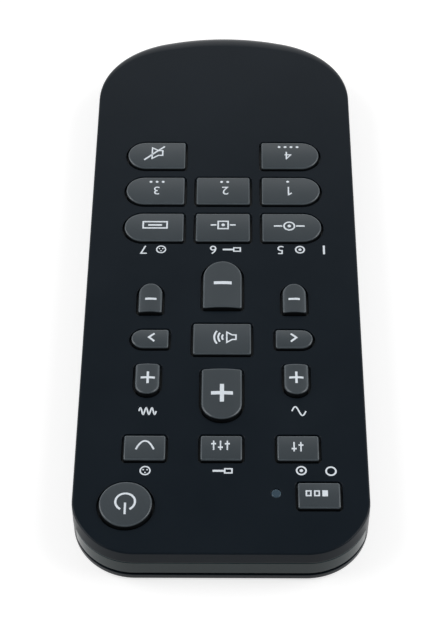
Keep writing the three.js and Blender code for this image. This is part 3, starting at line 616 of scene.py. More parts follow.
def front_band(name, outer, inner, low, high, wrap):
    """A band that follows the outline round the front, between two insets and heights"""
    deselect()
    bpy.ops.mesh.primitive_plane_add(
        size=1,
        location=(0, front_y - (outer + inner) / 2, (low + high) / 2),
        rotation=(0, QUARTER_TURN, 0),
    )
    bpy.context.object.scale = (high - low, inner - outer, 1)
    piece = settle(name)
    edit(piece)
    bpy.ops.mesh.select_all(action="SELECT")
    extrude(front_centre.x)
    spin_round(front_centre, 0, wrap)
    for inner_x in (0, front_centre.x):
        pick(piece, "FACE", lambda face: spans_only(face, inner_x))
        bpy.ops.mesh.delete(type="FACE")
    leave_edit()
    apply_modifier(piece, "left half", "MIRROR", use_clip=True, merge_threshold=SAME_POINT)
    clean_mesh(piece)
    return piece


# %% Cut the notch, the lamp hole and the slot


def tray_slot():
    low = Vector((-slot_half, tail_y - OVERRUN, base_z + FLOOR_PLATE))
    return block("slot", low, Vector((slot_half, slot_end_y, slot_z)))


notch = front_band(
    "notch", -OVERRUN, WALL + INNER_RIM, skirt_z - OVERRUN, window_z, WINDOW_WRAP
)
combine(shell, notch, "DIFFERENCE")
lamp_hole = round_bar(
    "lamp_hole", lens_place, LENS_RADIUS + LAMP_HOLE_FIT, plate_z - OVERRUN, face_z + OVERRUN
)
combine(shell, lamp_hole, "DIFFERENCE")
combine(shell, tray_slot(), "DIFFERENCE")
print("shell with its openings", len(shell.data.polygons), "faces")

# %% [markdown]
# Inside, six bosses take the screws that hold the board, small ridges snap into the
# lower shell, and two ribs keep the battery tray down. All start as bars and blocks that
# reach into the shell's plastic, so that they fuse with it.

# %% Add bosses, snaps and ribs
BOSS_RADIUS = 1.6 * MM
SCREW_HOLE = 0.8 * MM
SCREW_HOLE_DEPTH = 1.7 * MM
SNAP_SIZE = Vector((1.15, 6, 0.4)) * MM
SNAP_RISE = 0.2 * MM
SNAP_DEPTH = 0.5 * MM
SNAP_SHARES = (0.16, 0.5, 0.84)
TRAY_SIDE_HEIGHT = 2.3 * MM
RIB_WIDTH = 0.9 * MM
RIB_LENGTH = 16 * MM
RIB_GAP = 0.3 * MM
SCREWS = 6

board_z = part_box("circuit_board")[1].z
tray_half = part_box("battery_tray")[1].x
tray_side_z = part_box("coin_cell")[0].z + TRAY_SIDE_HEIGHT
screw_places = [middle(f"board_screw_{number + 1}") for number in range(SCREWS)]
snap_rows = [between(tail_centre.y, front_centre.y, share) for share in SNAP_SHARES]
plate_middle = plate_z + FACE_PLATE / 2

bosses = [round_bar("boss", place, BOSS_RADIUS, board_z, plate_middle) for place in screw_places]
combine(shell, join(bosses), "UNION")
holes = [
    round_bar("hole", place, SCREW_HOLE, board_z - OVERRUN, board_z + SCREW_HOLE_DEPTH)
    for place in screw_places
]
combine(shell, join(holes), "DIFFERENCE")
inner_parts = []
for side in (-1, 1):
    for row in snap_rows:
        centre = Vector((
            side * (half_width - WALL - SNAP_DEPTH + SNAP_SIZE.x / 2),
            row,
            skirt_z + SNAP_RISE + SNAP_SIZE.z / 2,
        ))
        inner_parts.append(block("snap", centre - SNAP_SIZE / 2, centre + SNAP_SIZE / 2))
    centre_x = side * (tray_half - RIB_WIDTH / 2)
    low = Vector((centre_x - RIB_WIDTH / 2, slot_end_y - RIB_LENGTH, tray_side_z + RIB_GAP))
    high = Vector((centre_x + RIB_WIDTH / 2, slot_end_y, plate_middle))
    inner_parts.append(block("rib", low, high))
combine(shell, join(inner_parts), "UNION")
print(len(bosses), "bosses,", len(inner_parts), "snaps and ribs")

# %% [markdown]
# The cuts left sharp rims on the outside. They are found by their height and by the
# faces that meet there, and are broken with a small bevel, as a mould's edges are.

# %% Break the rims of the cuts
UPRIGHT = 0.1
LEVEL = 0.9
OUTWARD = 0.3


def outer_cut_edge(height):
    """A test for the edges where an upright face meets a level one at a height"""

    def wanted(edge):
        if len(edge.link_faces) != 2 or not at_height(edge, height):
            return False
        slopes = sorted(abs(face.normal.z) for face in edge.link_faces)
        return slopes[0] < UPRIGHT and slopes[1] > LEVEL

    return wanted


def faces_out(edge):
    """Whether an upright face at an edge looks away from the middle of the case"""
    centre = (edge.verts[0].co + edge.verts[1].co) / 2
    return any(
        abs(face.normal.z) < UPRIGHT and face.normal.xy.dot(centre.xy.normalized()) > OUTWARD
        for face in edge.link_faces
    )


rims = break_edges(shell, outer_cut_edge(face_z))
notch_edge = outer_cut_edge(window_z)
break_edges(shell, lambda edge: notch_edge(edge) and faces_out(edge))
print(rims, "rim edges broken")
finish_piece(shell, "housing", "case", "case_top")

# %% [markdown]
# ## The lower shell
# The lower shell is a shallow pan with a rounded foot. Of it only a thin edge shows,
# under a shadow gap. A tongue stands up inside the upper shell's skirt, two rails guide
# the battery tray, and posts hold the circuit board up.

# %% Build the pan and its tongue
BASE_HEIGHT = 1.65 * MM
SEAM_SINK = 0.05 * MM
FOOT_RADIUS = 0.8 * MM
FOOT_STEPS = 8
TONGUE_FIT = 0.3 * MM
TONGUE_THICKNESS = 0.8 * MM
TONGUE_HEIGHT = 2 * MM
TONGUE_GAP_ANGLE = math.radians(8)

base_top = base_z + BASE_HEIGHT
floor_z = base_z + FLOOR_PLATE
tongue_outer = WALL + TONGUE_FIT
tongue_inner = tongue_outer + TONGUE_THICKNESS
tongue_top = base_top + TONGUE_HEIGHT

pan = ringed_body(
    "lower_shell",
    lower_round(0, base_z, FOOT_RADIUS, FOOT_STEPS) + upper_round(0, base_top, EDGE_BREAK),
)
tongue = ringed_body("tongue", [ring(tongue_outer, floor_z), ring(tongue_outer, tongue_top)])
combine(pan, tongue, "UNION")
room = ringed_body("room", [ring(tongue_inner, floor_z), ring(tongue_inner, tongue_top + OVERRUN)])
combine(pan, room, "DIFFERENCE")
front_gap = front_band(
    "front_gap",
    WALL,
    tongue_inner + TONGUE_FIT,
    base_top - SEAM_SINK,
    tongue_top + OVERRUN,
    WINDOW_WRAP + TONGUE_GAP_ANGLE,
)
combine(pan, front_gap, "DIFFERENCE")
print("pan and tongue", len(pan.data.polygons), "faces")

# %% Cut the recesses, the slot and the nail notch
SNAP_CLEARANCE = 0.2 * MM
NAIL_NOTCH_RADIUS = 6 * MM
NAIL_NOTCH_DEPTH = 3 * MM

recess_ends = (half_width - tongue_inner - TONGUE_FIT, half_width - WALL)
recess_reach = SNAP_SIZE.y / 2 + SNAP_CLEARANCE
recess_top = skirt_z + SNAP_RISE + SNAP_SIZE.z + SNAP_CLEARANCE
recesses = []
for side in (-1, 1):
    low_x, high_x = sorted(side * end for end in recess_ends)
    for row in snap_rows:
        low = Vector((low_x, row - recess_reach, base_top + SNAP_CLEARANCE))
        high = Vector((high_x, row + recess_reach, recess_top))
        recesses.append(block("recess", low, high))
combine(pan, join(recesses), "DIFFERENCE")
combine(pan, tray_slot(), "DIFFERENCE")
nail_place = Vector((0, tail_y - NAIL_NOTCH_RADIUS + NAIL_NOTCH_DEPTH))
nail_notch = round_bar(
    "nail_notch", nail_place, NAIL_NOTCH_RADIUS, base_z - OVERRUN, floor_z + OVERRUN
)
combine(pan, nail_notch, "DIFFERENCE")
print(len(recesses), "recesses for the snaps")

# %% Add rails and posts to the pan
RAIL_WIDTH = 1 * MM
RAIL_HEIGHT = 3.2 * MM
RAIL_INSET = 3.4 * MM
POST_RADIUS = 1.2 * MM
POST_CLEARANCE = 0.3 * MM
POST_COLUMN = 15 * MM

board_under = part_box("circuit_board")[0].z
tray_end_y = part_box("battery_tray")[1].y
balance_y = middle("key_volume").y
post_rows = (
    (middle("key_4").y + middle("key_1").y) / 2,
    balance_y - POST_COLUMN,
    balance_y + POST_COLUMN,
)
post_top = board_under - POST_CLEARANCE
support_foot = base_z + FLOOR_PLATE / 2
supports = []
for side in (-1, 1):
    low_x, high_x = sorted((side * slot_half, side * (slot_half + RAIL_WIDTH)))
    low = Vector((low_x, tail_y + RAIL_INSET, support_foot))
    supports.append(block("rail", low, Vector((high_x, tray_end_y, floor_z + RAIL_HEIGHT))))
    for row in post_rows:
        place = Vector((side * POST_COLUMN, row))
        supports.append(round_bar("post", place, POST_RADIUS, support_foot, post_top))
combine(pan, join(supports), "UNION")
finish_piece(pan, "housing", "case", "case_bottom")

# %% [markdown]
# ## The infrared window
# The window is a polished band of dark plastic that only infrared light passes. Its face
# lies flush with the case, and a thinner lip behind it keeps it in its notch. The face's
# long edges are broken, which gives the fine dark line along its top.

# %% Model the infrared window
WINDOW_FIT = 0.1 * MM
WINDOW_BODY = 1.6 * MM
WINDOW_LIP = 0.8 * MM
WINDOW_LIP_HEIGHT = 0.6 * MM
WINDOW_LIP_ANGLE = math.radians(5)

window_top = window_z - WINDOW_FIT
window = front_band(
    "window_band",
    0,
    WINDOW_BODY,
    skirt_z,
    window_top,
    WINDOW_WRAP - WINDOW_FIT / FRONT_CORNER,
)
break_edges(
    window,
    lambda edge: faces_out(edge) and (at_height(edge, skirt_z) or at_height(edge, window_top)),
)
lip = front_band(
    "lip",
    WALL + WINDOW_FIT,
    WALL + WINDOW_FIT + WINDOW_LIP,
    skirt_z,
    window_z + WINDOW_LIP_HEIGHT,
    WINDOW_WRAP + WINDOW_LIP_ANGLE,
)
combine(window, lip, "UNION")
finish_piece(window, "housing", "window", "ir_window")

# %% [markdown]
# ## The keys
# A key is a cap with a flange under the face plate that keeps it in. Its top edge is
# rounded, and its top is crowned: the six step keys across, and the flat ones very
# slightly along. The cap is sliced with bisects, so that its points can follow the crown.

# %% Say how each key is crowned
STEP_CROWN = 0.37 * MM
FLAT_CROWN = 0.2 * MM
PRINT = 0.025 * MM

STEP_KEYS = [key for key in KEY_SHAPES if key.endswith(("_up", "_down"))]


def crown_axis(key):
    return Vector((1, 0, 0)) if key in STEP_KEYS else Vector((0, 1, 0))


def crown_height(key):
    return STEP_CROWN if key in STEP_KEYS else FLAT_CROWN


def edge_top(key):
    """The height of a key's rim, which leaves room for its crown and its print"""
    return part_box(key)[1].z - PRINT - crown_height(key)


def crown_at(key, point):
    """How much higher than its rim a key's top is at a point"""
    low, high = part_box(key)
    axis = crown_axis(key)
    half = (high - low).dot(axis) / 2 - FLANGE_REACH
    share = (point - (low + high) / 2).dot(axis) / half
    return crown_height(key) * max(0.0, 1 - share * share)


print(len(STEP_KEYS), "keys crowned across,", len(KEY_SHAPES) - len(STEP_KEYS), "along")

# %% Model the keys
KEY_EDGE = 0.34 * MM
KEY_EDGE_STEPS = 5
KEY_RIM = 0.15 * MM
KEY_FLANGE = 0.6 * MM
CROWN_SLICES = 12


def slice_across(low, high, axis, slices):
    """Cuts the mesh in edit mode along evenly spaced planes"""
    for number in range(1, slices):
        bpy.ops.mesh.select_all(action="SELECT")
        bpy.ops.mesh.bisect(plane_co=low.lerp(high, number / slices), plane_no=axis)


def model_key(key):
    """A cap with a rounded, crowned top, and the flange that keeps it in the case"""
    low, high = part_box(key)
    top = edge_top(key)
    piece = key_block(f"{key}_cap", key, low.z, top, 0)
    break_edges(piece, lambda edge: at_height(edge, top), KEY_EDGE, KEY_EDGE_STEPS)
    edit(piece)
    pick(piece, "FACE", lambda face: at_height(face, top))
    bpy.ops.mesh.inset(thickness=KEY_RIM)
    bpy.ops.mesh.select_mode(type="VERT")
    slice_across(low, high, crown_axis(key), CROWN_SLICES)
    mesh = bmesh.from_edit_mesh(piece.data)
    for point in mesh.verts:
        if point.co.z > top - KEY_EDGE - SAME_POINT:
            point.co.z += crown_at(key, point.co)
    bmesh.update_edit_mesh(piece.data)
    leave_edit()
    flange = key_block("flange", key, low.z, low.z + KEY_FLANGE, FLANGE_REACH)
    combine(piece, flange, "UNION")
    finish_piece(piece, f"{key}_body", "keys", key)
    return piece


key_caps = {key: model_key(key) for key in KEY_SHAPES}

# %% [markdown]
# ## The battery tray and its cell
# The tray's outer end is part of the tail, so a block is trimmed to the case outline.
# A round pocket holds the coin cell, and the space between the arms lets the contacts in.

# %% Model the battery tray
TRAY_FLOOR = 0.8 * MM
TRAY_WALL = 1.2 * MM
TRAY_CELL_GAP = 0.3 * MM
CONTACT_OPENING = 10 * MM
GROOVE_LENGTH = 9 * MM
GROOVE_DEPTH = 0.6 * MM
GROOVE_HEIGHT = 0.7 * MM

tray_low, tray_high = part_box("battery_tray")
cell_low, cell_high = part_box("coin_cell")
cell_centre = (cell_low + cell_high) / 2
cell_radius = (cell_high.x - cell_low.x) / 2
pocket_z = tray_low.z + TRAY_FLOOR
end_wall_y = cell_low.y - TRAY_CELL_GAP
arm_inner = tray_half - TRAY_WALL
before_tail = Vector((-tray_half, tail_y - OVERRUN, tray_low.z))

tray = block("tray_drawer", before_tail, Vector((tray_half, tray_end_y, tray_side_z)))
end_wall = block("tray_end", before_tail, Vector((tray_half, end_wall_y, tray_high.z)))
combine(tray, end_wall, "UNION")
case_prism = ringed_body("case_prism", [ring(0, base_z - OVERRUN), ring(0, face_z)])
combine(tray, case_prism, "INTERSECT")
pocket = round_bar("pocket", cell_centre, cell_radius + TRAY_CELL_GAP, pocket_z, face_z)
combine(tray, pocket, "DIFFERENCE")
cuts = {
    "contact_bay": (
        Vector((-CONTACT_OPENING / 2, cell_centre.y, pocket_z)),
        Vector((CONTACT_OPENING / 2, tray_end_y + OVERRUN, face_z)),
    ),
    "between_arms": (
        Vector((-arm_inner, slot_end_y, base_z)),
        Vector((arm_inner, tray_end_y + OVERRUN, face_z)),
    ),
    "groove": (
        Vector((-GROOVE_LENGTH / 2, tail_y - OVERRUN, tray_low.z - OVERRUN)),
        Vector((GROOVE_LENGTH / 2, tail_y + GROOVE_DEPTH, tray_low.z + GROOVE_HEIGHT)),
    ),
}
for name, (low, high) in cuts.items():
    combine(tray, block(name, low, high), "DIFFERENCE")
finish_piece(tray, "tray", "case", "battery_tray")

# %% Model the coin cell
CELL_CAP_RADIUS = 8.6 * MM
CELL_CAP_HEIGHT = 0.2 * MM
CELL_SIDES = 96

can_z = cell_high.z - CELL_CAP_HEIGHT
cell = round_bar("round_cell", cell_centre, cell_radius, cell_low.z, can_z, sides=CELL_SIDES)
break_edges(cell, lambda edge: at_height(edge, cell_low.z), 2 * EDGE_BREAK)
break_edges(cell, lambda edge: at_height(edge, can_z))
cap_low = cell_low.z + CELL_CAP_HEIGHT
cap = round_bar("cap", cell_centre, CELL_CAP_RADIUS, cap_low, cell_high.z, sides=CELL_SIDES)
break_edges(cap, lambda edge: at_height(edge, cell_high.z), CELL_CAP_HEIGHT / 2)
combine(cell, cap, "UNION")
finish_piece(cell, "tray", "cell", "coin_cell")

# %% [markdown]
# ## The keypad mat and the lens
# The mat is one sheet of silicone with a hollow dome under each key. The sheet is built
# with the case's own rings, the domes are cones fused on, and their hollows are cut.
# The lens is a small stem with a flange that keeps it from falling out.

# %% Model the mat
MAT_INSET = 3.4 * MM
MAT_WEB = 0.5 * MM
DOME_RADIUS = 2.5 * MM
DOME_TOP_RADIUS = 1.8 * MM
DOME_HOLLOW = 1.9 * MM
DOME_TOP_WALL = 0.55 * MM
DOME_SIDES = 32
PILL_RADIUS = 1.5 * MM
PILL_THICKNESS = 0.3 * MM
MAT_CLEARANCE = 0.3 * MM

mat_low, mat_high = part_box("keypad_mat")
emitter_low, emitter_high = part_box("ir_emitter")
key_places = [middle(key) for key in KEY_SHAPES]
under_dome = mat_high.z - DOME_TOP_WALL


def bars(places, radius, low, high, top_radius=None):
    """One round bar at each place, joined into one tool"""
    return join([
        round_bar("bar", place, radius, low, high, top_radius, DOME_SIDES) for place in places
    ])


web_z = mat_low.z + MAT_WEB
mat = ringed_body("silicone_mat", [ring(MAT_INSET, mat_low.z), ring(MAT_INSET, web_z)])
dome_foot = mat_low.z + MAT_WEB / 2
combine(mat, bars(key_places, DOME_RADIUS, dome_foot, mat_high.z, DOME_TOP_RADIUS), "UNION")
combine(mat, bars(key_places, DOME_HOLLOW, mat_low.z - OVERRUN, under_dome), "DIFFERENCE")
pill_low = under_dome - PILL_THICKNESS
combine(mat, bars(key_places, PILL_RADIUS, pill_low, under_dome + PILL_THICKNESS), "UNION")
combine(mat, bars(screw_places, BOSS_RADIUS + MAT_CLEARANCE, base_z, face_z), "DIFFERENCE")
lamp_low, lamp_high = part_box("indicator_led")
lamp_room = (lamp_high.x - lamp_low.x) / 2 + MAT_CLEARANCE
clearings = [
    round_bar("lamp_room", middle("indicator_led"), lamp_room, base_z, face_z, sides=DOME_SIDES),
    block(
        "emitter_bay",
        Vector((emitter_low.x - OVERRUN / 2, emitter_low.y - MAT_CLEARANCE, base_z)),
        Vector((emitter_high.x + OVERRUN / 2, front_y, face_z)),
    ),
    block("behind", Vector((-half_width, tail_y, base_z)), Vector((half_width, mat_low.y, face_z))),
]
combine(mat, join(clearings), "DIFFERENCE")
finish_piece(mat, "housing", "mat", "keypad_mat")

# %% Model the indicator lens
LENS_FLANGE = 0.6 * MM
LENS_ROUND = 0.2 * MM

lens_low, lens_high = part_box("indicator_lens")
lens = round_bar("lamp_lens", lens_place, LENS_RADIUS, lens_low.z, lens_high.z)
break_edges(lens, lambda edge: at_height(edge, lens_high.z), LENS_ROUND)
lens_flange_radius = (lens_high.x - lens_low.x) / 2
flange_z = lens_low.z + LENS_FLANGE
combine(lens, round_bar("flange", lens_place, lens_flange_radius, lens_low.z, flange_z), "UNION")
finish_piece(lens, "housing", "indicator", "indicator_lens")

# %% [markdown]
# ## Printed signs
# The signs are pad-printed: a film of pale ink that stands a hair above the plastic.
# Most are made from strokes of one width that follow a run of points, so they could be
# curves too, but flat strokes can be cut along the crown of their key and laid on it.

# %% Make a stroke
STROKE = 0.34 * MM
SHARPEST_MITRE = 0.5


def stroke(points, width=STROKE, closed=False):
    """The four-sided faces of a stroke along a run of points"""
    count = len(points)
    rims = []
    for number, point in enumerate(points):
        inside = closed or 0 < number < count - 1
        before = points[number - 1] if inside or number else point
        after = points[(number + 1) % count] if inside or number == 0 else point
        into = (point - before).normalized()
        out = (after - point).normalized()
        along = (into + out).normalized()
        heading = into if inside or number else out
        reach = width / 2 / max(SHARPEST_MITRE, along.dot(heading))
        across = Vector((-along.y, along.x)) * reach
        rims.append((point + across, point - across))
    last = count if closed else count - 1
    pairs = [(rims[number], rims[(number + 1) % count]) for number in range(last)]
    return [(one[0], two[0], two[1], one[1]) for one, two in pairs]


# %% Helpers for lines, arcs, hoops and dots
CIRCLE_POINTS = 32


def even_shares(count):
    """Even steps from 0 to 1"""
    return [number / count for number in range(count + 1)]


def arc(centre, radius, start=0, end=360, points=CIRCLE_POINTS):
    """Points along an arc, with its angles in degrees"""
    turns = [math.radians(between(start, end, share)) for share in even_shares(points)]
    return [centre + Vector((math.cos(turn), math.sin(turn))) * radius for turn in turns]


def circle(centre, radius):
    return arc(centre, radius)[:-1]


def at(x, y):
    """A place on the print, in millimetres"""
    return Vector((x, y)) * MM


def line(width, *places, closed=False):
    """A stroke through places, with its width and its places in millimetres"""
    return stroke([at(x, y) for x, y in places], width * MM, closed)


def hoop(centre, radius, width=STROKE):
    return stroke(circle(centre, radius), width, closed=True)


def dot(centre, radius):
    return [tuple(circle(centre, radius))]


def box_line(low, high, width=STROKE):
    corners = [low, Vector((high.x, low.y)), high, Vector((low.x, high.y))]
    return stroke(corners, width, closed=True)


# %% [markdown]
# Each sign below is a list of faces about its own centre, with its sizes in millimetres.
# Plus, minus, mute, volume and power are the usual ones.

# %% Draw plus, minus, mute, volume and power
SPEAKER_CORNERS = (
    (-0.5, 0.22),
    (-0.22, 0.22),
    (0.2, 0.5),
    (0.2, -0.5),
    (-0.22, -0.22),
    (-0.5, -0.22),
)
SOUND_RADII = (1.0, 1.75, 2.5)
SOUND_ANGLE = 38


def minus_sign(length, width):
    return line(width, (-length / 2, 0), (length / 2, 0))


def plus_sign(length, width):
    """A square with four arms, which share its sides"""
    faces = minus_sign(width, width)
    for way in (Vector((1, 0)), Vector((0, 1)), Vector((-1, 0)), Vector((0, -1))):
        faces += stroke([way * width * MM / 2, way * length * MM / 2], width * MM)
    return faces


def speaker(centre_x, size):
    """The outline of a loudspeaker that faces right"""
    places = [(centre_x + x * size, y * size) for x, y in SPEAKER_CORNERS]
    return line(0.3, *places, closed=True)


def mute_sign():
    """A loudspeaker struck through"""
    return speaker(-0.15, 3.1) + line(0.36, (-2.1, -1.95), (2.1, 1.95))


def volume_sign():
    """A loudspeaker with its sound in front"""
    faces = speaker(-1.3, 2.5)
    for radius in SOUND_RADII:
        faces += stroke(arc(at(-0.9, 0), radius * MM, -SOUND_ANGLE, SOUND_ANGLE), 0.36 * MM)
    return faces


def power_sign():
    """A broken circle with a bar in its gap"""
    return stroke(arc(at(0, -0.3), 1.75 * MM, 118, 422), 0.4 * MM) + line(0.4, (0, -0.1), (0, 2.3))


# %% [markdown]
# The other keys and the labels on the case carry plain pictograms, which belong to no
# maker: sockets and a plug for the inputs and outputs, sliders, waves and a curve for the
# tone, and arrows and dots.

# %% Draw the sockets and the plug


def side_bars(inner, outer):
    """A bar to each side of a socket"""
    return [
        face for side in (-1, 1) for face in line(0.36, (side * inner, 0), (side * outer, 0))
    ]


def ring_socket():
    return hoop(at(0, 0), 0.85 * MM, 0.3 * MM) + dot(at(0, 0), 0.32 * MM)


def pin_socket():
    faces = hoop(at(0, 0), 0.88 * MM, 0.26 * MM)
    for place in arc(at(0, 0), 0.4 * MM, 90, 450, 3)[:-1]:
        faces += dot(place, 0.15 * MM)
    return faces


def jack_plug():
    body = box_line(at(-1.75, -0.45), at(-0.45, 0.45), 0.28 * MM)
    return body + line(0.42, (-0.3, 0), (1.75, 0))


def wide_ring_socket():
    return hoop(at(0, 0), 1.05 * MM, 0.32 * MM) + dot(at(0, 0), 0.36 * MM) + side_bars(1.4, 3.1)


def light_socket():
    frame_line = box_line(at(-1.0, -1.0), at(1.0, 1.0), 0.32 * MM)
    return frame_line + dot(at(0, 0), 0.36 * MM) + side_bars(1.35, 2.5)


def flat_socket():
    body = box_line(at(-2.4, -0.85), at(2.4, 0.85), 0.34 * MM)
    return body + line(0.42, (-1.4, 0.05), (1.4, 0.05))


# %% Draw the waves and the curve
CURVE_POINTS = 16


def wave(periods, half_length, height):
    """A wave line of some periods"""
    places = [
        (between(-half_length, half_length, s), height * math.sin(2 * math.pi * periods * s))
        for s in even_shares(CURVE_POINTS * periods)
    ]
    return line(0.28, *places)


def loudness_curve():
    """A bowl that is high at both ends, as the ear wants it at low volume"""
    shares = even_shares(CURVE_POINTS)
    places = [(between(-1.65, 1.65, s), 1.9 * (2 * s - 1) ** 2 - 0.95) for s in shares]
    return line(0.34, *places)


# %% Draw the sliders, dots, arrows and boxes
SIGN_PITCH = 1.25
KNOB_HALF = 0.17


def in_row(number, count):
    """How far from the middle of its row a sign's part stands"""
    return (number - (count - 1) / 2) * SIGN_PITCH


def sliders(count):
    """Upright slider tracks with a knob across each"""
    faces = []
    for number in range(count):
        x = in_row(number, count)
        knob_y = 0.45 if number % 2 else -0.35
        faces += line(0.26, (x, -1.05), (x, knob_y - KNOB_HALF))
        faces += line(0.26, (x, knob_y + KNOB_HALF), (x, 1.05))
        faces += line(0.34, (x - 0.45, knob_y), (x + 0.45, knob_y))
    return faces


def dot_row(count):
    return [face for number in range(count) for face in dot(at(in_row(number, count), 0), 0.3 * MM)]


def digit_one():
    """A one with a short flag, as tall as the other digits"""
    return line(0.3, (-0.55, 0.6), (0.12, 1.05), (0.12, -1.08))


def arrow_sign(side):
    """An open arrow head"""
    return line(0.4, (-side * 0.5, 0.95), (side * 0.55, 0), (-side * 0.5, -0.95))


def choice_sign():
    """One filled and two open boxes in a row"""
    faces = line(1.3, (-1.95, 0), (-0.95, 0))
    for x in (0.0, 1.5):
        faces += box_line(at(x - 0.4, -0.5), at(x + 0.4, 0.5), 0.28 * MM)
    return faces


# %% [markdown]
# A sign is laid on its key: its faces are cut where the crown was cut, each point goes to
# the height of the plastic under it, and one extrude gives the ink its thickness. Digits
# start as text, which is made a mesh before it is placed.

# %% Turn faces and digits into flat meshes


def sign_mesh(name, faces):
    """A flat mesh of the faces of a sign"""
    mesh = bpy.data.meshes.new(name)
    shape = bmesh.new()
    for face in faces:
        shape.faces.new([shape.verts.new((point.x, point.y, 0)) for point in face])
    shape.to_mesh(mesh)
    shape.free()
    piece = bpy.data.objects.new(name, mesh)
    bpy.context.collection.objects.link(piece)
    return piece


def digit_mesh(text, height):
    """A digit of a given height about its own centre, as a flat mesh"""
    deselect()
    bpy.ops.object.text_add(location=(0, 0, 0))
    bpy.context.object.data.body = text
    bpy.ops.object.convert(target="MESH")
    piece = bpy.context.object
    places = [point.co.copy() for point in piece.data.vertices]
    low = Vector([min(place[axis] for place in places) for axis in range(3)])
    high = Vector([max(place[axis] for place in places) for axis in range(3)])
    for point in piece.data.vertices:
        point.co = (point.co - (low + high) / 2) * (height * MM / (high.y - low.y))
    return piece


# %% Lay a sign on its key or on the case
INK_SINK = 0.01 * MM


def lay_sign(name, parts, key=None):
    """Joins flat parts, each with its place, and lays them on a key or on the case"""
    origin = middle(key) if key else Vector()
    pieces = []
    for piece, offset in parts:
        shift = Vector((origin.x + offset.x, origin.y + offset.y, 0))
        piece.data.transform(Matrix.Translation(shift))
        pieces.append(piece)
    sign = join(pieces)
    sign.name = name
    edit(sign)
    merge_doubles()
    if key:
        low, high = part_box(key)
        slice_across(low, high, crown_axis(key), CROWN_SLICES)
    mesh = bmesh.from_edit_mesh(sign.data)
    for point in mesh.verts:
        height = edge_top(key) + crown_at(key, point.co) if key else face_z
        point.co.z = height - INK_SINK
    bmesh.update_edit_mesh(sign.data)
    bpy.ops.mesh.select_all(action="SELECT")
    extrude(z=INK_SINK + PRINT)
    leave_edit()
    finish_piece(sign, f"{key}_body" if key else "housing", "keys" if key else "case")
    return sign


# %% Say where the signs stand
DIGIT_HEIGHT = 2.15
KEY_SIGNS = {
    "key_mute": (mute_sign, at(0.5, -0.45)),
    "key_5": (wide_ring_socket, at(0.5, -0.15)),
    "key_6": (light_socket, at(-0.05, -0.4)),
    "key_7": (flat_socket, at(-0.2, -0.4)),
    "key_volume": (volume_sign, at(-0.1, -0.2)),
    "key_volume_down": (lambda: minus_sign(3.5, 0.72), at(-0.05, -0.2)),
    "key_volume_up": (lambda: plus_sign(4.1, 0.78), at(-0.05, -0.05)),
    "key_treble_down": (lambda: minus_sign(2.2, 0.5), at(-0.1, 0.45)),
    "key_treble_up": (lambda: plus_sign(2.7, 0.46), at(-0.1, -0.15)),
    "key_bass_down": (lambda: minus_sign(2.2, 0.5), at(0.05, 0.4)),
    "key_bass_up": (lambda: plus_sign(2.7, 0.46), at(0, -0.25)),
    "key_left": (lambda: arrow_sign(-1), at(0.15, -0.15)),
    "key_right": (lambda: arrow_sign(1), at(-0.35, -0.15)),
    "key_tone": (lambda: sliders(2), at(0.1, -0.15)),
    "key_equalizer": (lambda: sliders(3), at(0.15, -0.4)),
    "key_loudness": (loudness_curve, at(-0.05, -0.4)),
    "key_select": (choice_sign, at(0.4, -0.3)),
    "key_power": (power_sign, at(0.05, 0)),
}
DIGIT_PLACES = {
    "key_1": (at(0.37, 0.2), at(0.6, -2.4)),
    "key_2": (at(-0.44, 0.2), at(-0.3, -2.3)),
    "key_3": (at(-0.25, 0.2), at(-0.25, -2.3)),
    "key_4": (at(0.4, 0.25), at(0.35, -2.3)),
}
CASE_SIGNS = {
    "sign_input_7": (pin_socket, at(12.3, -3.55)),
    "sign_input_6": (jack_plug, at(-1.75, -3.55)),
    "sign_input_5": (ring_socket, at(-15.4, -3.55)),
    "sign_inputs": (lambda: line(0.4, (0, -1.13), (0, 1.13)), at(-20.17, -3.5)),
    "sign_treble": (lambda: wave(3, 1.6, 0.75), at(13.74, 36.2)),
    "sign_bass": (lambda: wave(1, 1.3, 1.0), at(-14.34, 36.1)),
    "sign_output_7": (pin_socket, at(13.76, 49.45)),
    "sign_output_6": (jack_plug, at(-0.2, 49.45)),
    "sign_output_5": (ring_socket, at(-14.5, 49.35)),
    "sign_outputs": (lambda: hoop(at(0, 0), 0.88 * MM, 0.32 * MM), at(-19.85, 49.45)),
}
CASE_DIGITS = {"7": at(15.83, -3.45), "6": at(1.92, -3.45), "5": at(-11.52, -3.45)}
print(len(KEY_SIGNS) + len(DIGIT_PLACES), "signs on keys")

# %% Print the signs
signs = []
for key, (draw, place) in KEY_SIGNS.items():
    signs.append(lay_sign(f"sign_{key}", [(sign_mesh("sign", draw()), place)], key))
for key, (digit_place, dots_place) in DIGIT_PLACES.items():
    number = key.removeprefix("key_")
    one = number == "1"
    digit = sign_mesh("one", digit_one()) if one else digit_mesh(number, DIGIT_HEIGHT)
    parts = [(digit, digit_place), (sign_mesh("dots", dot_row(int(number))), dots_place)]
    signs.append(lay_sign(f"sign_{key}", parts, key))
for name, (draw, place) in CASE_SIGNS.items():
    signs.append(lay_sign(name, [(sign_mesh("sign", draw()), place)]))
for number, place in CASE_DIGITS.items():
    signs.append(lay_sign(f"sign_digit_{number}", [(digit_mesh(number, DIGIT_HEIGHT), place)]))
print(len(signs), "signs")
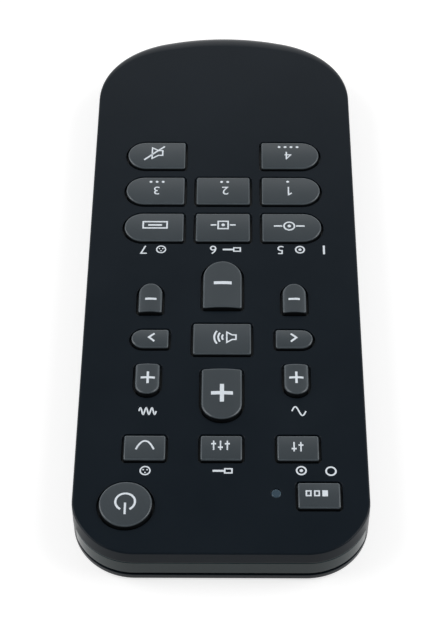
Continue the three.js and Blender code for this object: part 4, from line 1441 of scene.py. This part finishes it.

# %% [markdown]
# ## Effects that the finishes share
# Four effects are node groups, built once: a fine spark-eroded grain, slow changes from
# handling, a mask of the rims, which are lighter from wear and from a painted highlight,
# and a mask of the faces that look up. Each finish gives them its own values.

# %% Helpers for nodes


def new_group(name, inputs, outputs):
    """An empty node group with number inputs and their usual values"""
    group = bpy.data.node_groups.new(name, "ShaderNodeTree")
    for label, value in inputs.items():
        socket = group.interface.new_socket(label, in_out="INPUT", socket_type="NodeSocketFloat")
        socket.default_value = value
    for label in outputs:
        group.interface.new_socket(label, in_out="OUTPUT", socket_type="NodeSocketFloat")
    return group, group.nodes.new("NodeGroupInput"), group.nodes.new("NodeGroupOutput")


def add_node(tree, kind, values=None, **links):
    """Adds a node, sets plain values on its inputs, and links other nodes' outputs to it"""
    node = tree.nodes.new(kind)
    for label, value in (values or {}).items():
        node.inputs[label].default_value = value
    for label, output in links.items():
        tree.links.new(output, node.inputs[label.replace("_", " ")])
    return node


def mathematics(tree, operation, first, second):
    """A Math node on two inputs, each a number or an output"""
    node = tree.nodes.new("ShaderNodeMath")
    node.operation = operation
    for place, value in enumerate((first, second)):
        if isinstance(value, (int, float)):
            node.inputs[place].default_value = value
        else:
            tree.links.new(value, node.inputs[place])
    return node.outputs[0]


# %% Build the grain and the handling
RIPPLE_TO_PITS = 4


def noise(tree, place, scale, **values):
    """The value of a noise texture at some scale"""
    node = add_node(tree, "ShaderNodeTexNoise", values, Vector=place, Scale=scale)
    return node.outputs["Fac"]


def place_and_scale(group, given):
    """A place on the object, and the noise scale for a group's size in millimetres"""
    place = group.nodes.new("ShaderNodeTexCoord").outputs["Object"]
    return place, mathematics(group, "DIVIDE", 1 / MM, given.outputs["Size"])


def grain_group():
    """Height of a fine moulded grain: small pits on a softer ripple"""
    group, given, result = new_group("spark_grain", {"Size": 0.15}, ["Height"])
    place, scale = place_and_scale(group, given)
    pits = noise(group, place, scale, Detail=3.0, Roughness=0.6)
    ripple = noise(group, place, mathematics(group, "DIVIDE", scale, RIPPLE_TO_PITS), Detail=1.0)
    group.links.new(mathematics(group, "ADD", pits, ripple), result.inputs["Height"])
    return group


def handling_group():
    """A slow mask, about 0.5, where hands have polished or dulled the plastic"""
    group, given, result = new_group("handling", {"Size": 14.0}, ["Mask"])
    place, scale = place_and_scale(group, given)
    cloud = noise(group, place, scale, Detail=4.0, Roughness=0.55)
    group.links.new(cloud, result.inputs["Mask"])
    return group


# %% Build the masks of the rims, with wear and a painted highlight, and of the upward faces
LEAST_RUBBED = 0.4


def worn_and_highlit_rims_group():
    """A noisy mask of the rims between a level face and its walls: wear and a painted highlight"""
    group, given, result = new_group("worn_and_highlit_rims", {"Level": 0.985, "Tilted": 0.93}, ["Mask"])
    spots = group.nodes.new("ShaderNodeTexCoord")
    upward = add_node(group, "ShaderNodeSeparateXYZ", Vector=spots.outputs["Normal"]).outputs["Z"]
    off_level = add_node(group, "ShaderNodeMapRange", Value=upward)
    group.links.new(given.outputs["Level"], off_level.inputs["From Min"])
    group.links.new(given.outputs["Tilted"], off_level.inputs["From Max"])
    over_wall = add_node(
        group, "ShaderNodeMapRange", {"From Min": 0.1, "From Max": 0.35}, Value=upward
    )
    rim = mathematics(group, "MULTIPLY", off_level.outputs["Result"], over_wall.outputs["Result"])
    rubbed = add_node(
        group,
        "ShaderNodeTexNoise",
        {"Scale": 0.4 / MM, "Detail": 3.0},
        Vector=spots.outputs["Object"],
    )
    uneven = mathematics(group, "ADD", rubbed.outputs["Fac"], LEAST_RUBBED)
    broken = mathematics(group, "MULTIPLY", rim, uneven)
    group.links.new(mathematics(group, "MINIMUM", broken, 1), result.inputs["Mask"])
    return group


def facing_up_group():
    """A mask of the faces that look up; the walls under it take a darker colour"""
    group, given, result = new_group("facing_up_mask", {"Start": 0.25, "End": 0.6}, ["Mask"])
    facing = group.nodes.new("ShaderNodeTexCoord").outputs["Normal"]
    split = add_node(group, "ShaderNodeSeparateXYZ", Vector=facing)
    fade = add_node(group, "ShaderNodeMapRange", Value=split.outputs["Z"])
    group.links.new(given.outputs["Start"], fade.inputs["From Min"])
    group.links.new(given.outputs["End"], fade.inputs["From Max"])
    group.links.new(fade.outputs["Result"], result.inputs["Mask"])
    return group


# %% Build the shared effects once
GROUPS = {
    "grain": grain_group(),
    "handling": handling_group(),
    "rims": worn_and_highlit_rims_group(),
    "facing_up": facing_up_group(),
}
print(len(GROUPS), "shared effects")


def use_group(tree, kind, **values):
    node = tree.nodes.new("ShaderNodeGroup")
    node.node_tree = GROUPS[kind]
    for label, value in values.items():
        node.inputs[label].default_value = value
    return node.outputs[0]


# %% [markdown]
# ## The finishes
# Moulded plastic is most of the remote. Its colour and its gloss change slowly from
# place to place, its raised edges are lighter, partly from wear and partly as a painted
# highlight, and its grain is a bump.

# %% Helpers for materials


def new_material(name, roughness=0.5, specular=0.5, metallic=0.0):
    material = bpy.data.materials.new(name)
    material.use_nodes = True
    surface = material.node_tree.nodes["Principled BSDF"]
    surface.inputs["Roughness"].default_value = roughness
    surface.inputs["Specular IOR Level"].default_value = specular
    surface.inputs["Metallic"].default_value = metallic
    return material, material.node_tree, surface


def mix_colours(tree, mask, first, second):
    """A colour between two, each a colour or an output, by a mask"""
    node = tree.nodes.new("ShaderNodeMix")
    node.data_type = "RGBA"
    tree.links.new(mask, node.inputs["Factor"])
    for label, value in (("A", first), ("B", second)):
        socket = next(item for item in node.inputs if item.name == label and item.type == "RGBA")
        if isinstance(value, tuple):
            socket.default_value = (*value, 1)
        else:
            tree.links.new(value, socket)
    return next(item for item in node.outputs if item.type == "RGBA")


def shaded(colour, factor):
    return tuple(channel * factor for channel in colour)


def vary_gloss(tree, surface, mask, roughness, change):
    """Lets the roughness change about its value, by a mask"""
    spread = mathematics(tree, "MULTIPLY", mask, change)
    varied = mathematics(tree, "ADD", spread, roughness - change / 2)
    tree.links.new(varied, surface.inputs["Roughness"])


def connect_bump(tree, surface, height, depth):
    bump = add_node(tree, "ShaderNodeBump", {"Strength": 1.0, "Distance": depth}, Height=height)
    tree.links.new(bump.outputs["Normal"], surface.inputs["Normal"])


# %% Say how a plastic is made
GLOSS_CHANGE = 0.12
HANDLING_SIZE = 14.0


def plastic(
    name,
    colour,
    roughness,
    specular,
    change=0.12,
    edge_wear_and_highlight_gain=1.5,
    grain=0.15,
    depth=0.002,
    sides=None,
):
    """Moulded plastic; change is how much tone varies, grain and depth are in millimetres"""
    material, tree, surface = new_material(name, roughness, specular)
    handled = use_group(tree, "handling", Size=HANDLING_SIZE)
    body = mix_colours(tree, handled, shaded(colour, 1 - change), shaded(colour, 1 + change))
    # Rims are lighter by a gain: partly wear, partly a painted highlight.
    highlit_and_worn = mix_colours(tree, use_group(tree, "rims"), body, shaded(colour, edge_wear_and_highlight_gain))
    # Where a wall colour is given, faces that don't look up take it, so walls are darker than tops.
    if sides:
        highlit_and_worn = mix_colours(tree, use_group(tree, "facing_up"), sides, highlit_and_worn)
    tree.links.new(highlit_and_worn, surface.inputs["Base Color"])
    vary_gloss(tree, surface, handled, roughness, GLOSS_CHANGE)
    connect_bump(tree, surface, use_group(tree, "grain", Size=grain), depth * MM)
    return material


# %% Give each plastic its colour and gloss
# The rim gain lightens the rounded rims: partly wear, partly a painted highlight.
PLASTICS = {
    "case_plastic": dict(
        colour=(0.0072, 0.0118, 0.0172), roughness=0.32, specular=0.16, edge_wear_and_highlight_gain=1.1
    ),
    "key_plastic": dict(
        colour=(0.050, 0.062, 0.071),
        roughness=0.34,
        specular=0.5,
        edge_wear_and_highlight_gain=1.7,
        grain=0.12,
        sides=(0.010, 0.012, 0.014),
    ),
    "window_plastic": dict(
        colour=(0.003, 0.020, 0.024), roughness=0.14, specular=0.2, grain=2.0, depth=0.0006
    ),
    "lens_plastic": dict(
        colour=(0.045, 0.075, 0.102), roughness=0.22, specular=0.4, grain=1.0, depth=0.0005
    ),
    "print_ink": dict(
        colour=(0.80, 0.86, 0.92), roughness=0.55, specular=0.3, change=0.05, edge_wear_and_highlight_gain=0.95
    ),
    "silicone": dict(colour=(0.27, 0.29, 0.31), roughness=0.6, specular=0.4, grain=0.3),
    "epoxy": dict(
        colour=(0.010, 0.010, 0.011), roughness=0.55, specular=0.4, grain=0.08, depth=0.003
    ),
    "ceramic": dict(colour=(0.42, 0.24, 0.06), roughness=0.5, specular=0.4, grain=0.1),
    "emitter_resin": dict(
        colour=(0.022, 0.016, 0.035), roughness=0.12, specular=0.5, grain=1.5, depth=0.0005
    ),
    "lamp_resin": dict(colour=(0.72, 0.74, 0.70), roughness=0.3, specular=0.5, grain=0.4),
}
finishes = {name: plastic(name, **values) for name, values in PLASTICS.items()}
print(len(finishes), "plastics")

# %% [markdown]
# The metals inside are nickel-plated steel: the cell's can is turned, so its fine lines
# run round, and the contacts and screws have a plain rolled finish. The board is green
# laminate with buried copper tracks, which show as paler stripes.

# %% Make the metals
METAL_GLOSS_CHANGE = 0.2
LINE_DEPTH = 0.001 * MM


def metal(name, colour, roughness, stretch):
    """Bare metal whose fine lines run one way, by a stretched noise"""
    material, tree, surface = new_material(name, roughness, metallic=1.0)
    place = tree.nodes.new("ShaderNodeTexCoord").outputs["Object"]
    lines = add_node(tree, "ShaderNodeMapping", {"Scale": stretch}, Vector=place)
    streaks = add_node(
        tree,
        "ShaderNodeTexNoise",
        {"Scale": 1 / MM, "Detail": 4.0},
        Vector=lines.outputs["Vector"],
    ).outputs["Fac"]
    tone = mix_colours(tree, streaks, shaded(colour, 0.82), shaded(colour, 1.1))
    tree.links.new(tone, surface.inputs["Base Color"])
    vary_gloss(tree, surface, streaks, roughness, METAL_GLOSS_CHANGE)
    connect_bump(tree, surface, streaks, LINE_DEPTH)
    return material


METALS = {
    "zinc_steel": dict(colour=(0.62, 0.63, 0.65), roughness=0.34, stretch=(1.0, 1.0, 6.0)),
    "cell_steel": dict(colour=(0.70, 0.71, 0.72), roughness=0.26, stretch=(6.0, 0.6, 1.0)),
    "nickel_plate": dict(colour=(0.72, 0.70, 0.66), roughness=0.24, stretch=(0.6, 6.0, 1.0)),
}
finishes.update({name: metal(name, **values) for name, values in METALS.items()})
print(len(METALS), "metals")

# %% Make the board's laminate
TRACK_DEPTH = 0.03 * MM


def board_laminate():
    material, tree, surface = new_material("board_laminate", 0.42)
    place = tree.nodes.new("ShaderNodeTexCoord").outputs["Object"]
    tracks = add_node(
        tree,
        "ShaderNodeTexBrick",
        {
            "Color1": (0.010, 0.075, 0.030, 1),
            "Color2": (0.012, 0.085, 0.034, 1),
            "Mortar": (0.035, 0.16, 0.06, 1),
            "Scale": 0.25 / MM,
            "Mortar Size": 0.02,
        },
        Vector=place,
    )
    tree.links.new(tracks.outputs["Color"], surface.inputs["Base Color"])
    connect_bump(tree, surface, tracks.outputs["Fac"], TRACK_DEPTH)
    return material


finishes["board_laminate"] = board_laminate()
print(len(finishes), "finishes in all")

# %% Give every piece its finish
for sign in signs:
    sign.data.materials.clear()
piece_finishes = {
    "case_plastic": [shell, pan, tray],
    "key_plastic": list(key_caps.values()),
    "print_ink": signs,
    "window_plastic": [window],
    "lens_plastic": [lens],
    "silicone": [mat],
    "cell_steel": [cell],
}
for name, pieces in piece_finishes.items():
    for piece in pieces:
        piece.data.materials.append(finishes[name])
print(sum(len(pieces) for pieces in piece_finishes.values()), "pieces have their finish")

# %% [markdown]
# The board and the small parts on it stay as the frame has them, because they are hidden
# inside and their plain solids serve. Only their finish is new.

# %% Give the inner parts their finish
NODE_FINISHES = {
    "circuit_board": "board_laminate",
    "controller_chip": "epoxy",
    "driver_transistor": "epoxy",
    "resonator": "ceramic",
    "capacitor": "ceramic",
    "ir_emitter": "emitter_resin",
    "indicator_led": "lamp_resin",
    "contact_plus": "nickel_plate",
    "contact_minus": "nickel_plate",
}
for number in range(SCREWS):
    NODE_FINISHES[f"board_screw_{number + 1}"] = "zinc_steel"
for node, name in NODE_FINISHES.items():
    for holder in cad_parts[node].material_slots:
        holder.material = finishes[name]
print(len(NODE_FINISHES), "nodes keep their shape and get a new finish")

# %% [markdown]
# ## The lamps
# A dark matt face looks light wherever a lamp stands in its mirror direction, so the two
# softboxes stand at the sides, where their reflections miss the camera and draw the long
# rims. A weak strip behind the tail lights the roll there.

# %% Set up the lamps
LAMPS = {
    "left_softbox": (Vector((1.0, -0.1, 0.7)), Vector((0.9, 0.9)), 8.6),
    "right_softbox": (Vector((-1.0, -0.1, 0.7)), Vector((0.9, 0.9)), 8.6),
    "tail_strip": (Vector((0.0, -1.04, 0.6)), Vector((1.0, 0.45)), 0.8),
}

for name, (place, size, watts) in LAMPS.items():
    bpy.ops.object.light_add(type="AREA", location=place, rotation=turn_towards(place, Vector()))
    lamp = bpy.context.object
    lamp.name = name
    lamp.data.shape = "RECTANGLE"
    lamp.data.size = size.x
    lamp.data.size_y = size.y
    lamp.data.energy = watts
print(len(LAMPS), "lamps")

# %% [markdown]
# ## The tent
# What the face mirrors is a tent round the table: dark above and behind the camera, and
# white low behind the tail. That gives the slow fade of the face and of each key. The
# camera itself sees plain white, and rays that light the piece get a weak even glow.

# %% Hang the tent
ROOM_GLOW = 0.25
DARK_WAY = Vector((0, 0.64, 0.77))
DARK_LEVEL = 0.1
DARK_EDGE = 0.28
PALE_EDGE = -0.35
WHITE = (1, 1, 1, 1)


def seen_directly(tree):
    """1 where a ray comes from the camera, a reflection or glass, and 0 where it lights"""
    path = tree.nodes.new("ShaderNodeLightPath").outputs
    seen = mathematics(tree, "MAXIMUM", path["Is Camera Ray"], path["Is Glossy Ray"])
    return mathematics(tree, "MAXIMUM", seen, path["Is Transmission Ray"])


world = bpy.data.worlds.new("light_tent")
bpy.context.scene.world = world
world.use_nodes = True
sky = world.node_tree
nearness = sky.nodes.new("ShaderNodeVectorMath")
nearness.operation = "DOT_PRODUCT"
nearness.inputs[1].default_value = DARK_WAY
sky.links.new(sky.nodes.new("ShaderNodeTexCoord").outputs["Generated"], nearness.inputs[0])
walls = add_node(
    sky,
    "ShaderNodeMapRange",
    {"From Min": PALE_EDGE, "From Max": DARK_EDGE, "To Min": 1.0, "To Max": DARK_LEVEL},
    Value=nearness.outputs["Value"],
)
walls.interpolation_type = "SMOOTHSTEP"
straight = sky.nodes.new("ShaderNodeLightPath").outputs["Is Camera Ray"]
tent = mathematics(sky, "MAXIMUM", walls.outputs["Result"], straight)
seen = seen_directly(sky)
shown = mathematics(sky, "MULTIPLY", tent, seen)
lighting = mathematics(sky, "MULTIPLY", mathematics(sky, "SUBTRACT", 1, seen), ROOM_GLOW)
strength = mathematics(sky, "ADD", shown, lighting)
background = sky.nodes["Background"]
background.inputs["Color"].default_value = WHITE
sky.links.new(strength, background.inputs["Strength"])
print("tent from", DARK_LEVEL, "to 1")

# %% [markdown]
# ## The floor
# The floor is pale and matt, so it keeps the soft shadow of the case. Part of its white
# is a glow that only the camera and reflections see, which lights nothing. From below it
# is clear, so the underside can be looked at.

# %% Lay the floor
FLOOR_SIZE = 8.0
FLOOR_TONE = 0.55
FLOOR_ROUGHNESS = 0.6
FLOOR_SPECULAR = 0.3
FLOOR_GLOW = 0.66
FLOOR_DROP = 0.02 * MM

deselect()
bpy.ops.mesh.primitive_plane_add(size=FLOOR_SIZE, location=(0, 0, base_z - FLOOR_DROP))
floor = settle("floor")
floor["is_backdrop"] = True
table, tree, surface = new_material("white_table", FLOOR_ROUGHNESS, FLOOR_SPECULAR)
surface.inputs["Base Color"].default_value = (FLOOR_TONE, FLOOR_TONE, FLOOR_TONE, 1)
surface.inputs["Emission Color"].default_value = WHITE
glow = mathematics(tree, "MULTIPLY", seen_directly(tree), FLOOR_GLOW)
tree.links.new(glow, surface.inputs["Emission Strength"])
from_below = tree.nodes.new("ShaderNodeNewGeometry").outputs["Backfacing"]
tree.links.new(mathematics(tree, "SUBTRACT", 1, from_below), surface.inputs["Alpha"])
floor.data.materials.append(table)
bpy.context.scene.view_settings.view_transform = "Standard"
print("floor", FLOOR_SIZE, "m wide")

# %% Compare the sizes and finish
boxes = {"cad": cad_box, "visual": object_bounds()}
for name, (low, high) in boxes.items():
    print(name, [round((end - start) / MM, 2) for start, end in zip(low, high)], "mm")
